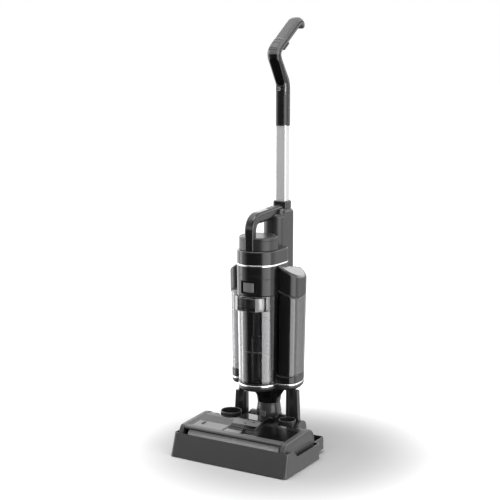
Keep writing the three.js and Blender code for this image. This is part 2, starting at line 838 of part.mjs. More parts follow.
add('roller_bearing', 'steel', bearing());
add('scraper_blade', 'rubber', box(
  -chassisHalf + scraperInset, chassisHalf - scraperInset, barFront + 1, barFront + 1 + scraperThickness,
  headFloor, headUnderside - gap,
));
add('wheel_left', 'rubber', wheel(-1));
add('wheel_right', 'rubber', wheel(1));
add('wheel_axle', 'steel', barX(
  -tailHalfWidth + gap, tailHalfWidth - gap, wheelY, wheelZ, axleRadius, 12,
));

// ================================================================ neck
const barrelHalf = forkInner - runningGap;
const hoseTop = yokeTop - 2;
const hoseBottom = hingeZ + barrelRadius + 3 + gap;

function yoke() {
  const barrel = barX(-barrelHalf, barrelHalf, neckY, hingeZ, barrelRadius, 28);
  const stem = barZ(0, neckY, hingeZ + 4, yokeTop, barrelHalf - 1, yokeTopRadius, 32);
  const duct = barZ(0, neckY, hoseBottom - gap, yokeTop + 1, hoseRadius + gap);
  const pinHole = barX(-barrelHalf - 1, barrelHalf + 1, neckY, hingeZ, hingePinRadius + gap, 16);
  return cut(join(barrel, stem), duct, pinHole);
}

// ribbed suction hose that crosses the swivel
function neckHose() {
  const ribs = 4;
  const pitch = (hoseTop - hoseBottom) / ribs;
  const profile = [[hoseRadius - 4, hoseBottom]];
  for (let i = 0; i < ribs; i += 1) {
    profile.push([hoseRadius - 1.5, hoseBottom + i * pitch]);
    profile.push([hoseRadius, hoseBottom + (i + 0.5) * pitch]);
  }
  profile.push([hoseRadius - 1.5, hoseTop], [hoseRadius - 4, hoseTop]);
  return turned(profile, 0, neckY, 20);
}

add('hinge_pin', 'steel', barX(-hingePinEnd, hingePinEnd, neckY, hingeZ, hingePinRadius, 16));
add('neck_yoke', 'greyShell', yoke());
add('neck_hose', 'rubber', neckHose());

// ================================================================ body
const trimTop = lowerTrim + trimHeight;
const trimInside = 3;

function columnRadiusAt(z) {
  return columnRadius + (columnTopRadius - columnRadius) * ((z - lowerTrim) / (upperTrim - lowerTrim));
}

function rearScaleAt(z) {
  return 1 + rearGrowth * ((z - lowerTrim) / (upperTrim - lowerTrim));
}

// round front column between two heights
function column(inset, low, high) {
  return barZ(0, columnY, low, high, columnRadiusAt(low) - inset, columnRadiusAt(high) - inset, 40);
}

function rearOutline(inset) {
  const half = rearRadius - inset;
  const corner = rearCorner - inset;
  const front = rearFront + inset;
  const shape = new THREE.Shape();
  shape.moveTo(-half + corner, front);
  shape.lineTo(half - corner, front);
  shape.absarc(half - corner, front + corner, corner, -Math.PI / 2, 0);
  shape.lineTo(half, rearY);
  longArc(shape, 0, rearY, half, 0, Math.PI, 5);
  shape.lineTo(-half, front + corner);
  shape.absarc(-half + corner, front + corner, corner, Math.PI, 1.5 * Math.PI);
  return shape;
}

// the wings and the round back, widening upwards
function rear(inset, low, high, bevel = 0) {
  const geometry = extrude(rearOutline(inset), high - low, 2, bevel).translate(0, 0, low);
  const position = geometry.attributes.position;
  for (let i = 0; i < position.count; i += 1) {
    const scale = rearScaleAt(position.getZ(i));
    position.setX(i, position.getX(i) * scale);
    position.setY(i, rearY + (position.getY(i) - rearY) * scale);
  }
  return toSolid(geometry);
}

function bodyMass(inset, low, high) {
  return join(column(inset, low, high), rear(inset, low, high));
}

// flat-topped outline of the cap: round front, straight sides back to the spine
function capOutline(inset) {
  const half = columnTopRadius - inset;
  const corner = capCorner - inset;
  const back = capBack - inset;
  const shape = new THREE.Shape();
  shape.moveTo(half, columnY);
  shape.lineTo(half, back - corner);
  shape.absarc(half - corner, back - corner, corner, 0, Math.PI / 2);
  shape.lineTo(-half + corner, back);
  shape.absarc(-half + corner, back - corner, corner, Math.PI / 2, Math.PI);
  shape.lineTo(-half, columnY);
  longArc(shape, 0, columnY, half, Math.PI, 2 * Math.PI, 5);
  return shape;
}

function capBlock(inset, low, high, bevel = 0) {
  return upright(capOutline(inset), low, high, 2, bevel);
}

// everything below the clean tank's sloping top, shifted up by lift
function belowRoof(lift) {
  const drop = roofSlope * (far - roofBreak);
  return lengthwise(
    polygon([
      [-far, 0], [far, 0], [far, roofMiddle + lift - drop], [roofBreak, roofMiddle + lift],
      [-roofBreak, roofMiddle + lift], [-far, roofMiddle + lift - drop],
    ]),
    -far, far,
  );
}

// everything below the sloping shoulders of the upper housing, lowered by depth
function belowShoulders(depth = 0) {
  const top = shoulderTop - depth;
  const start = columnTopRadius;
  const drop = shoulderSlope * (far - start);
  const side = lengthwise(
    polygon([
      [-far, 0], [far, 0], [far, top - drop], [start, top], [-start, top], [-far, top - drop],
    ]),
    -far, far,
  );
  const fall = shoulderFall * (far - rearFront);
  const back = across(
    polygon([[-far, 0], [far, 0], [far, top - fall], [rearFront, top], [-far, top]]),
    -far, far,
  );
  return side.intersect(back);
}

function spineBlock(extra, low, high) {
  return upright(
    roundedRectangle(
      -spineHalfWidth - extra, spineHalfWidth + extra, spineFront - extra, spineBack + extra,
      spineCorner + extra,
    ),
    low, high, 3,
  );
}

function baseCap() {
  const tall = 40;
  const roundedRear = rear(0, bodyBottom, bodyBottom + tall, baseRound);
  const shoulder = baseRound * 0.3;
  const roundedColumn = turned([
    [0, bodyBottom], [columnRadius - baseRound, bodyBottom],
    [columnRadius - shoulder, bodyBottom + shoulder], [columnRadius, bodyBottom + baseRound],
    [columnRadius, bodyBottom + tall], [0, bodyBottom + tall],
  ], 0, columnY, 40);
  const underTrim = box(-far, far, -far, far, 0, lowerTrim - gap);
  const lowerPart = join(roundedRear, roundedColumn).intersect(underTrim);
  const plug = bodyMass(trimInside + gap, lowerTrim - 1, trimTop);
  const hollow = bodyMass(8, bodyBottom + 3, trimTop + 1);
  const ductHole = barZ(0, neckY, bodyBottom - 1, bodyBottom + 4, hoseRadius + 1);
  return cut(join(lowerPart, plug), hollow, ductHole);
}

function lowerTrimRing() {
  return cut(
    bodyMass(-trimStandOut, lowerTrim, trimTop),
    bodyMass(trimInside, lowerTrim - 1, trimTop + 1),
  );
}

function swivelHub() {
  const middle = (yokeTop + bodyBottom) / 2;
  return turned([
    [hoseRadius + 3, yokeTop + gap], [hubBottomRadius, yokeTop + gap],
    [hubBottomRadius + 4, middle - 6], [hubTopRadius - 9, bodyBottom - 10],
    [hubTopRadius, bodyBottom - gap], [hubTopRadius - 6, bodyBottom - gap], [hoseRadius + 6, middle],
  ], 0, neckY, 32);
}

// central frame: band under the clean tank, back of the tank bay and the cheeks beside it
function mainFrame() {
  const low = trimTop + gap;
  const band = bodyMass(0, low, frameBand);
  const core = box(-coreHalfWidth, coreHalfWidth, bayBack, coreBack, low, roofMiddle - gap);
  const cheeks = cut(
    column(0, low, lidTop).intersect(box(-far, far, -far, columnY + 5, 0, high)),
    box(-bayHalfWidth, bayHalfWidth, -far, bayBack, 0, high),
  );
  const wall = box(bayHalfWidth, coreHalfWidth, columnY, bayBack + 1, low, lidTop);
  const bay = box(-bayHalfWidth, bayHalfWidth, -far, bayBack, tankBottom - gap, high);
  const half = coreHalfWidth - housingWall;
  const pumpRoom = box(-half, half, bayBack + shell, coreBack + 1, pumpFloor, roofMiddle - housingWall);
  const wireShaft = box(
    -wireHalfWidth, wireHalfWidth, bayBack + 8, coreBack - 8, pumpFloor + pumpHeight, high,
  );
  const bandHollow = rear(6, low + shell, frameBand - shell)
    .intersect(box(-far, far, coreBack + 3, far, 0, high));
  const drain = box(-10, 10, coreBack + 10, coreBack + 30, low - 1, low + 4);
  const frame = join(band, core, cheeks, ...pair(wall));
  return cut(frame, bay, pumpRoom, wireShaft, bandHollow, drain);
}

// the clean tank wraps around the frame's core and the column
function cleanTankMass(inset, low, high) {
  const half = coreHalfWidth + gap + inset;
  return cut(
    rear(inset, low, high),
    box(-half, half, -far, coreBack + gap + inset, 0, high),
    column(-gap - inset, low - 1, high + 1),
  );
}

function cleanTank() {
  const low = frameBand + gap;
  const outer = cleanTankMass(0, low, roofMiddle).intersect(belowRoof(-cleanLidThickness - gap));
  const inner = cleanTankMass(shell, low + shell, roofMiddle);
  const fillerHole = barY(0, rearY + 70, rearY + 120, fillerZ, fillerRadius + gap);
  return cut(outer, inner, fillerHole);
}

function cleanTankLid() {
  return cleanTankMass(0, frameBand, roofMiddle + 2)
    .intersect(belowRoof(-gap))
    .subtract(belowRoof(-cleanLidThickness));
}

function fillerCap() {
  const back = rearY + rearRadius * rearScaleAt(fillerZ);
  return join(
    barY(0, back - 6, back + 1, fillerZ, fillerRadius),
    barY(0, back + gap, back + 3, fillerZ, fillerRadius + 3),
  );
}

const latchZ = (latchBottom + latchTop) / 2;

// room inside the housing's wings, which opens into the shaft for the wires
function housingCavity() {
  const well = motorWellRadius + housingWall;
  return cut(
    rear(housingWall, tankTop, upperTrim).intersect(belowShoulders(housingWall)),
    belowRoof(housingWall),
    barZ(0, columnY, 0, high, well, well, 32),
    spineBlock(housingWall, spineBottom - housingWall, high),
  );
}

function upperHousing() {
  const wings = rear(0, tankTop, upperTrim - gap).intersect(belowShoulders()).subtract(belowRoof(0));
  const front = capBlock(0, lidTop + gap, upperTrim - gap).intersect(join(
    column(0, lidTop, upperTrim), box(-far, far, columnY, far, 0, high),
  ));
  const half = coreHalfWidth + gap;
  const floor = columnY - recessSurface;
  return cut(
    join(wings, front),
    cleanTankMass(-gap, frameBand, roofMiddle).intersect(belowRoof(0)),
    box(-half, half, bayBack - gap, far, 0, roofMiddle),
    box(-half, half, -far, bayBack, 0, lidTop + gap),
    box(-recessHalfWidth, recessHalfWidth, -far, floor, recessBottom, recessTop),
    barY(0, floor - 1, columnY, latchZ, latchStemRadius + gap, 16),
    barZ(0, columnY, motorWellFloor, high, motorWellRadius, motorWellRadius, 32),
    barZ(0, columnY, lidTop, motorWellFloor + 1, intakeRadius),
    spineBlock(gap, spineBottom - gap, high),
    housingCavity(),
    box(-wireHalfWidth, wireHalfWidth, spineFront + 4, coreBack - 8, roofMiddle - 1, spineBottom),
  );
}

function upperTrimRing() {
  return cut(
    capBlock(-trimStandOut, upperTrim, upperTrim + trimHeight),
    capBlock(trimInside, upperTrim - 1, upperTrim + trimHeight + 1),
    spineBlock(gap, 0, high),
  );
}

function motorCap() {
  const block = join(
    capBlock(0, upperTrim + trimHeight + gap, capTop, 3),
    capBlock(trimInside + gap, upperTrim, upperTrim + trimHeight + 6),
  );
  const well = barZ(0, columnY, 0, motorWellTop, motorWellRadius, motorWellRadius, 32);
  return cut(block, spineBlock(gap, 0, high), well);
}

function drum() {
  const bevel = 4;
  const body = turned([
    [0, capTop + gap], [drumRadius, capTop + gap], [drumRadius, drumTop - bevel],
    [drumRadius - bevel * 0.3, drumTop - bevel * 0.3], [drumRadius - bevel, drumTop], [0, drumTop],
  ], 0, columnY, 40);
  const hollow = barZ(0, columnY, 0, drumTop - 4, drumRadius - 4, drumRadius - 4, 32);
  return cut(body, hollow, carryHandleBlock(gap));
}

// ---------------------------------------------------------------- spine and carrying handle
const carryPath = roundedPath([
  new THREE.Vector2(carryLegY, capTop + gap),
  new THREE.Vector2(carryLegY, carryBend),
  new THREE.Vector2(carryEnd, carryBend + carryRise),
], [36]);

function carryHandleBlock(extra) {
  const over = () => carryThickness / 2 + extra;
  const grown = (u) => (armThickness - carryThickness) * Math.min(1, Math.max(0, (u - 0.12) / 0.4));
  const under = (u) => -carryThickness / 2 - extra - grown(u);
  const outline = strip(carryPath, 0, 1, under, over, 20);
  const bevel = extra > 0 ? 0 : 3;
  return across(outline, -carryWidth / 2 - extra, carryWidth / 2 + extra, 2, bevel);
}

function spine() {
  const shoulder = 12;
  const armFoot = drumTop + 48;
  const body = spineBlock(0, spineBottom, spineTop);
  const crown = across(
    polygon([
      [0, 0], [far, 0], [far, drumTop - 6], [spineBack + 6, spineTop - 2.4 * shoulder],
      [spineBack - shoulder, spineTop - shoulder * 0.6], [spineBack - 1.6 * shoulder, spineTop + 1],
      [spineFront + 30, spineTop + 1], [spineFront + 30, armFoot], [0, armFoot],
    ]),
    -far, far,
  );
  return cut(
    body.intersect(crown),
    spineBlock(-shell, spineBottom - 1, drumTop + 32),
    carryHandleBlock(gap),
    socketBlock(gap, socketBottom - gap, high),
    tubeBlock(runningGap, drumTop, high),
  );
}

function tubeBlock(extra, low, high) {
  const half = tubeWidth / 2 + extra;
  const deep = tubeDepth / 2 + extra;
  return upright(roundedRectangle(-half, half, tubeY - deep, tubeY + deep, tubeCorner + extra), low, high);
}

function socketBlock(extra, low, high) {
  return tubeBlock(collarWall + gap + extra, low, high);
}

const carryArmHeading = Math.atan2(carryRise, carryEnd - carryLegY);
const releaseCentre = carryPath.getPointAt(0.8);

// thumb button set into the top of the carrying handle's arm
function releaseButtonBlock(extra, low, high) {
  const outline = roundedRectangle(-releaseLength / 2 - extra, releaseLength / 2 + extra, low, high, 1.5);
  const half = releaseWidth / 2 + extra;
  const turn = new THREE.Matrix4().makeRotationX(carryArmHeading);
  return across(outline, -half, half, 3)
    .transform(turn.setPosition(0, releaseCentre.x, releaseCentre.y).elements);
}

add('swivel_hub', 'glossBlack', swivelHub());
add('base_cap', 'satinBlack', baseCap());
add('lower_trim', 'silver', lowerTrimRing());
add('main_frame', 'glossBlack', mainFrame());
add('upper_housing', 'satinBlack', upperHousing());
add('upper_trim', 'silver', upperTrimRing());
add('motor_cap', 'satinBlack', motorCap());
add('motor_drum', 'satinBlack', drum());
add('spine', 'satinBlack', spine());
add('carry_handle', 'satinBlack', cut(
  carryHandleBlock(0),
  releaseButtonBlock(gap, carryThickness / 2 - 6, carryThickness / 2 + 3),
  socketBlock(gap, drumTop, high),
));
add('tube_release_button', 'greyShell', releaseButtonBlock(
  0, carryThickness / 2 - 3, carryThickness / 2 + 1,
));
add('tube_socket', 'satinBlack', cut(
  socketBlock(0, socketBottom, socketTop), tubeBlock(gap, drumTop, high), carryHandleBlock(gap),
));

// ---------------------------------------------------------------- inside the body
function suctionMotor() {
  const wide = motorWellRadius - motorFlange;
  const narrow = wide - 10;
  return turned([
    [0, motorLow], [wide, motorLow], [wide, motorLow + motorFlange],
    [motorWellRadius - gap, motorLow + motorFlange], [motorWellRadius - gap, motorLow + 2 * motorFlange],
    [wide, motorLow + 2 * motorFlange], [wide, motorLow + 20], [narrow, motorLow + 26],
    [narrow, motorHigh], [0, motorHigh],
  ], 0, columnY, 28);
}

function impeller() {
  const bottom = motorWellFloor + 1.4;
  const plateTop = bottom + 3;
  const count = 7;
  const blades = Array.from({ length: count }, (_, i) => {
    const blade = new THREE.BoxGeometry(impellerRadius - 8, 1.6, 6)
      .translate(impellerRadius / 2 + 4, 0, plateTop + 2)
      .rotateZ((i * 2 * Math.PI) / count);
    return toSolid(blade.translate(0, columnY, 0));
  });
  const plate = barZ(0, columnY, bottom, plateTop, impellerRadius + 1, impellerRadius + 1, 28);
  return join(plate, barZ(0, columnY, bottom, motorLow - gap, 9, 7, 16), ...blades);
}

// the battery and its board stand between the walls of the spine
const bayHalf = spineHalfWidth - shell - gap;
const batteryFront = spineFront + shell + gap;
const batteryBack = batteryFront + batteryDepth;
const batteryCorner = spineCorner - shell - gap;

add('suction_motor', 'whitePlastic', suctionMotor());
add('impeller', 'whitePlastic', impeller());
add('battery_pack', 'battery', upright(
  roundedRectangle(-bayHalf, bayHalf, batteryFront, batteryBack, batteryCorner),
  spineBottom, spineBottom + batteryHeight,
));
add('control_board', 'board', box(
  -bayHalf, bayHalf, batteryBack + 4, batteryBack + 4 + boardThickness, spineBottom, tubeBottom - 20,
));
add('water_pump', 'satinBlack', box(
  -pumpHalfWidth, pumpHalfWidth, bayBack + shell + gap, coreBack - 4,
  pumpFloor + gap, pumpFloor + pumpHeight,
));

// ================================================================ tanks
function dirtyTankMass(inset, low, high) {
  const half = bayHalfWidth - gap - inset;
  const front = column(gap + inset, low, high).intersect(box(-half, half, -far, columnY + 1, 0, high));
  return join(front, box(-half, half, columnY, bayBack - gap - inset, low, high));
}

function dirtyTank() {
  return cut(
    dirtyTankMass(0, tankBottom, tankTop),
    dirtyTankMass(shell, tankBottom + shell, tankTop + 1),
    barZ(0, riserY, tankBottom - 1, tankBottom + shell + 1, riserRadius - 2),
  );
}

// plan of the lug: flat face, slanted sides, then straight back into the lid
function lugOutline() {
  const face = columnY - columnRadiusAt(lidTop) - lugStandOut;
  const inner = columnY - 20;
  return polygon([
    [-lugFaceHalfWidth, face], [lugFaceHalfWidth, face], [lugHalfWidth, face + lugSlant],
    [lugHalfWidth, inner], [-lugHalfWidth, inner], [-lugHalfWidth, face + lugSlant],
  ]);
}

// lid with the lug that is gripped, the air outlet and the pin that guides the float
function tankLid() {
  const low = tankTop + gap;
  const lug = upright(lugOutline(), low, lidTop);
  const hollow = dirtyTankMass(4, low - 1, lidTop - 3);
  const outlet = barZ(0, columnY, lidTop - 4, lidTop + 1, intakeRadius);
  const shellOfLid = cut(join(dirtyTankMass(0, low, lidTop), lug), hollow, outlet);
  const pinBottom = floatTop - floatHeight - 4;
  return join(shellOfLid, barZ(0, floatY, pinBottom, lidTop - 2, floatPinRadius, floatPinRadius, 12));
}

function riser() {
  return turned([
    [riserRadius - 2, tankBottom + shell + gap], [riserCollarRadius, tankBottom + shell + gap],
    [riserCollarRadius, riserCollarTop], [riserRadius, riserCollarTop], [riserRadius, tankTop + 4],
    [riserRadius - 2, tankTop + 4],
  ], 0, riserY, 24);
}

add('dirty_tank', 'smoked', dirtyTank());
add('tank_lid', 'smoked', tankLid());
add('tank_riser', 'satinBlack', riser());
add('tank_filter', 'whitePlastic', cut(
  barZ(0, filterY, tankTop + 6, lidTop - 3 - gap, filterRadius, filterRadius, 28),
  barZ(0, filterY, tankTop + 5, lidTop - 3 - filterCrown, filterRadius - 6, filterRadius - 6, 20),
));
add('tank_float', 'whitePlastic', cut(
  barZ(0, floatY, floatTop - floatHeight, floatTop, floatRadius, floatRadius, 20),
  barZ(
    0, floatY, floatTop - floatHeight - 1, floatTop + 1, floatPinRadius + gap, floatPinRadius + gap, 12,
  ),
));
add('clean_tank', 'smokedRear', cleanTank());
add('clean_tank_lid', 'satinBlack', cleanTankLid());
add('filler_cap', 'rubber', fillerCap());

// push button that lets go of the dirty tank; its face follows the column
function latchButton() {
  const back = columnY - recessSurface - latchTravel - 2 * gap;
  const face = column(latchInset, latchBottom, latchTop).intersect(
    box(-latchHalfWidth, latchHalfWidth, -far, back, 0, high),
  );
  return join(face, barY(0, back - 1, back + latchTravel + 2, latchZ, latchStemRadius, 16));
}

add('latch_button', 'greyShell', latchButton());

// ================================================================ tube and handle
const handlePath = roundedPath([
  new THREE.Vector2(tubeY - 1, handleBottom),
  new THREE.Vector2(tubeY - 1, neckBendZ),
  new THREE.Vector2(tubeY - gripBendReach, gripBendZ),
  new THREE.Vector2(tubeY + gripReach, gripTop - gripNose / 2),
  new THREE.Vector2(tubeY + gripReach + 16, gripTop - gripNose * 1.6),
], [12, 24, 26]);

function handleHalf(u) {
  const share = Math.min(1, Math.max(0, (u - 0.25) / 0.2));
  const body = handleThickness / 2 + (gripThickness / 2 - handleThickness / 2) * share;
  const end = Math.max(0, (u - 0.94) / 0.06);
  return body * Math.sqrt(Math.max(0.05, 1 - 0.8 * end * end));
}

function handleBlock() {
  const outline = strip(handlePath, 0, 1, (u) => -handleHalf(u), handleHalf, 32);
  return across(outline, -handleWidth / 2, handleWidth / 2, 2, 5.5);
}

// slice of the handle between two shares of its length, from low to high across its thickness
function handleSlice(start, end, low, high, halfWidth = handleWidth) {
  const steps = Math.max(2, Math.round((end - start) * 32));
  return across(strip(handlePath, start, end, low, high, steps), -halfWidth, halfWidth);
}

const outside = (u) => handleHalf(u) + 3;
const inside = (depth) => (u) => handleHalf(u) - depth;
const gripCover = { start: 0.665, end: 0.895 };
const panel = { start: 0.29, end: 0.53, halfWidth: 13, depth: 3 };
const modeSwitch = { start: 0.548, end: 0.648, halfWidth: 12, depth: 3 };
const trigger = { start: 0.625, end: 0.705, halfWidth: 6, standOut: 4, depth: 8, travel: 3 };
const seam = 0.004;                 // share of the handle's length between neighbouring pieces
const tubeInHandle = 49;

// slice widened by the seam at both ends
function pocket(piece, low, high, halfWidth) {
  return handleSlice(piece.start - seam, piece.end + seam, low, high, halfWidth);
}

const gripFloor = (u) => handleHalf(u) * 0.2;
const handleFront = tubeY - 1 - handleThickness / 2;
const block = handleBlock();

add('handle_tube', 'anodised', cut(
  tubeBlock(0, tubeBottom, handleBottom + tubeInHandle),
  tubeBlock(-tubeWall, tubeBottom - 1, handleBottom + tubeInHandle + 1),
));
add('handle_shell', 'satinBlack', cut(
  block,
  tubeBlock(gap, 0, handleBottom + tubeInHandle + 1),
  barY(powerButtonX, handleFront - 10, handleFront + 11, powerButtonZ, powerButtonRadius + gap),
  pocket(trigger, () => -40, () => -trigger.depth + trigger.travel, trigger.halfWidth + gap),
  pocket(gripCover, (u) => gripFloor(u) - gap, outside),
  pocket(panel, inside(panel.depth + gap), outside, panel.halfWidth + gap),
  pocket(modeSwitch, inside(2 * modeSwitch.depth), outside, modeSwitch.halfWidth + gap),
));
add('grip_cover', 'softTouch', block.intersect(
  handleSlice(gripCover.start, gripCover.end, gripFloor, outside),
));
add('display_panel', 'glossBlack', block.intersect(
  handleSlice(panel.start, panel.end, inside(panel.depth), outside, panel.halfWidth),
));
add('mode_switch', 'softTouch', handleSlice(
  modeSwitch.start, modeSwitch.end, inside(modeSwitch.depth), inside(-0.8), modeSwitch.halfWidth,
));
add('trigger', 'satinBlack', handleSlice(
  trigger.start, trigger.end, (u) => -handleHalf(u) - trigger.standOut, () => -trigger.depth,
  trigger.halfWidth,
));
add('power_button', 'greyShell', barY(
  powerButtonX, handleFront - 0.8, handleFront + 4, powerButtonZ, powerButtonRadius,
));

// the origin is the middle of the footprint, on the surface that the dock stands on
const footprint = new THREE.Box3().setFromObject(part);
part.position.set(0, -(footprint.min.y + footprint.max.y) / 2, 0);

export default part;
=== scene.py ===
# Cordless wet and dry floor scrubber standing in its rinsing dock.
# The dictionaries are in millimetres: x to the right, y to the back from the dock's middle, z up.

import bpy
import numpy as np
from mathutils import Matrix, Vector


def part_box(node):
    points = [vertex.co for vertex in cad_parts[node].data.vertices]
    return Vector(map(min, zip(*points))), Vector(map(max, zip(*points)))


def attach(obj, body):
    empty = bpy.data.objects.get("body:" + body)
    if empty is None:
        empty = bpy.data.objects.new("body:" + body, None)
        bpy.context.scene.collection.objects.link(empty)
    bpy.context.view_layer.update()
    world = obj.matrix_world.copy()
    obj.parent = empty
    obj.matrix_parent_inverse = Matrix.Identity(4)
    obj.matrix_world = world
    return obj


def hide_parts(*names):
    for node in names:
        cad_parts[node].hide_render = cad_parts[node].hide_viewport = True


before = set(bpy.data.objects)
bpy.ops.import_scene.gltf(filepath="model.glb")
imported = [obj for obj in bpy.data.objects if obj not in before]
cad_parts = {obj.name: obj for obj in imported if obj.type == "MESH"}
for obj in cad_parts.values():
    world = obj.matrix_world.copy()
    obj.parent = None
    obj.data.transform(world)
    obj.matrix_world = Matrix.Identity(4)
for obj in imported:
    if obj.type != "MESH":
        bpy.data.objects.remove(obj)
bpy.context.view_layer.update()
mm = 0.001
gap = 0.3                                       # clearance between neighbouring pieces
neckY, hingeZ = 97, 76.0                        # the neck's hinge pin, behind the dock's middle
pinLow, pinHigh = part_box("hinge_pin")
shift = np.array([0.0, (pinLow.y + pinHigh.y) / 2 / mm - neckY, 0.0])


# lowest and highest corner of a CAD node in the dictionaries' units
def edges(node):
    low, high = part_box(node)
    return np.array(low) / mm - shift, np.array(high) / mm - shift


# values as a column, with one row for each level of a shape
def asColumn(values):
    return np.atleast_1d(np.asarray(values, float))[:, None]


# one point of an outline at every level
def pointAt(x, y, level):
    return np.stack(np.broadcast_arrays(x + 0 * level, y + 0 * level), -1)


# arc: centre plus radius times cosine and sine of evenly spaced angles
def arc(x, y, radius, start, end, steps):
    angle = start + (end - start) * np.linspace(0, 1, steps + 1)
    across = x + radius * np.cos(angle)
    up = y + radius * np.sin(angle)
    return np.stack(np.broadcast_arrays(across, up), axis=-1)


# sides of a line of corners as unit steps turned a quarter to the left
def sideNormals(side):
    side = side / np.linalg.norm(side, axis=1, keepdims=True)
    return np.stack([-side[:, 1], side[:, 0]], 1)


# arcs that touch the sides before and after each corner, at each inset
def cornerArcs(corners, before, after, radii, inset, steps):
    dot = (before * after).sum(1)
    turn = np.arctan2(before[:, 0] * after[:, 1] - before[:, 1] * after[:, 0], dot)
    inset = asColumn(inset)
    radius = np.sign(turn) * np.asarray(radii, float) - inset
    radius = np.where(turn > 0, np.maximum(radius, 0.05), radius)
    centre = corners + (inset + radius)[..., None] * ((before + after) / (1 + dot)[:, None])
    angle = np.arctan2(before[:, 1], before[:, 0])[:, None] + turn[:, None] * np.linspace(0, 1, steps + 1)
    rim = np.stack([np.cos(angle), np.sin(angle)], -1)
    points = centre[:, :, None] - radius[..., None, None] * rim
    return points.reshape(len(inset), -1, 2)


# closed outline with rounded corners, anticlockwise; inset, which may be a list of levels, moves every
# side inwards
def rounded(corners, radii, inset=0.0, steps=5):
    corners = np.asarray(corners, float)
    after = sideNormals(np.roll(corners, -1, 0) - corners)
    return cornerArcs(corners, np.roll(after, 1, 0), after, radii, inset, steps)


# rectangle with rounded corners
def rectangle(left, right, low, high, radius, inset=0.0, steps=5):
    corners = [(left, low), (right, low), (right, high), (left, high)]
    return rounded(corners, [radius] * 4, inset, steps)


# open line whose inner corners are arcs
def bent(corners, radii, steps=5):
    corners = np.asarray(corners, float)
    normal = sideNormals(np.diff(corners, axis=0))
    points = cornerArcs(corners[1:-1], normal[:-1], normal[1:], radii, 0.0, steps)[0]
    return np.vstack([corners[:1], points, corners[-1:]])


# the same number of even steps on every stretch of an outline that is longer than step
def divided(rings, step):
    first = rings[0]
    length = np.linalg.norm(np.roll(first, -1, 0) - first, axis=1)
    count = np.maximum(1, np.ceil(length / step).astype(int))
    index = np.repeat(np.arange(len(first)), count)
    start = np.repeat(np.cumsum(count) - count, count)
    share = (np.arange(count.sum()) - start) / count[index]
    follow = np.roll(rings, -1, 1)
    return rings[:, index] * (1 - share)[:, None] + follow[:, index] * share[:, None]


# a surface is its points and its faces, turned so that the faces point outwards
def oriented(points, groups):
    volume = 0.0
    for group in groups:
        first, second, third = points[group[:, :1]], points[group[:, 1:-1]], points[group[:, 2:]]
        volume += (first * np.cross(second, third)).sum()
    if volume < 0:
        groups = [group[:, ::-1] for group in groups]
    return points, groups


# rows of points joined by four-sided faces; closed joins the ends of a row, loop joins last row to first
def skin(rings, closed=True, loop=False, capped=True):
    rows, columns = rings.shape[:2]
    row = np.arange(rows if loop else rows - 1)[:, None]
    column = np.arange(columns if closed else columns - 1)[None, :]
    nextRow, nextColumn = (row + 1) % rows, (column + 1) % columns
    corners = [
        row * columns + column, row * columns + nextColumn,
        nextRow * columns + nextColumn, nextRow * columns + column,
    ]
    groups = [np.stack(np.broadcast_arrays(*corners), -1).reshape(-1, 4)]
    if capped and closed and not loop:
        groups.append(np.arange(columns)[None, ::-1])
        groups.append((rows - 1) * columns + np.arange(columns)[None, :])
    return oriented(rings.reshape(-1, 3), groups)


# places flat outlines at heights along an axis
def placed(flat, height, along="z"):
    height = np.asarray(height, float)
    if height.ndim == 1:
        height = height[:, None]
    first, second, third = np.broadcast_arrays(flat[..., 0], flat[..., 1], height)
    order = {"z": (first, second, third), "x": (third, first, second), "y": (first, third, second)}
    return np.stack(order[along], -1)


# heights and insets of a wall whose two rims are quarter circles
def wall(low, high, lowRim=1.0, highRim=1.0, steps=4):
    turn = np.linspace(0, np.pi / 2, steps + 1)
    height = np.concatenate([low + lowRim * (1 - np.cos(turn)), high - highRim * (1 - np.sin(turn))])
    inset = np.concatenate([lowRim * (1 - np.sin(turn)), highRim * (1 - np.cos(turn))])
    return height, inset


# solid between two heights along an axis: outline(inset) at each level of the wall
def prism(outline, low, high, lowRim=1.0, highRim=1.0, along="z", steps=4):
    height, inset = wall(low, high, lowRim, highRim, steps)
    return skin(placed(outline(inset), height, along))


# solid between two heights along an axis whose outline has rounded corners
def slab(corners, radii, low, high, lowRim=1.0, highRim=1.0, along="z", steps=5):
    return prism(lambda inset: rounded(corners, radii, inset, steps), low, high, lowRim, highRim, along)


# upright solid whose ends may slope: z runs from low(x, y) to high(x, y), both rims are quarter circles,
# grow moves points outwards with height, and polar rings carry the slope to the middle
def block(outline, low, high, rims=(1.0, 1.0), grow=None, polar=0, middle=2, steps=4, centre=(0, 0)):
    turn = np.linspace(0, np.pi / 2, steps + 1)
    flat = np.zeros(polar)
    between = np.linspace(0, 1, middle + 2)[1:-1]
    shrink = np.linspace(1, 0.02, polar + 1)[1:]
    still = np.ones(2 * steps + 2 + middle)
    weight = np.concatenate([flat, 0 * turn, between, 0 * turn + 1, flat + 1])
    offset = np.concatenate([
        flat, rims[0] * (1 - np.cos(turn)), 0 * between, -rims[1] * (1 - np.sin(turn)), flat,
    ])
    inset = np.concatenate([
        flat + rims[0], rims[0] * (1 - np.sin(turn)), 0 * between, rims[1] * (1 - np.cos(turn)),
        flat + rims[1],
    ])
    share = np.concatenate([shrink[::-1], still, shrink])[:, None, None]
    base = np.asarray(centre) + (outline(inset) - np.asarray(centre)) * share
    x, y = base[..., 0], base[..., 1]
    # twice, because a sloping end depends on where the points have moved
    for _ in range(2):
        bottom = low(x, y) if callable(low) else low
        top = high(x, y) if callable(high) else high
        z = (1 - weight[:, None]) * bottom + weight[:, None] * top + offset[:, None] + 0 * x
        if grow:
            x, y = grow(base[..., 0], base[..., 1], z)
    return skin(np.stack([x, y, z], -1))


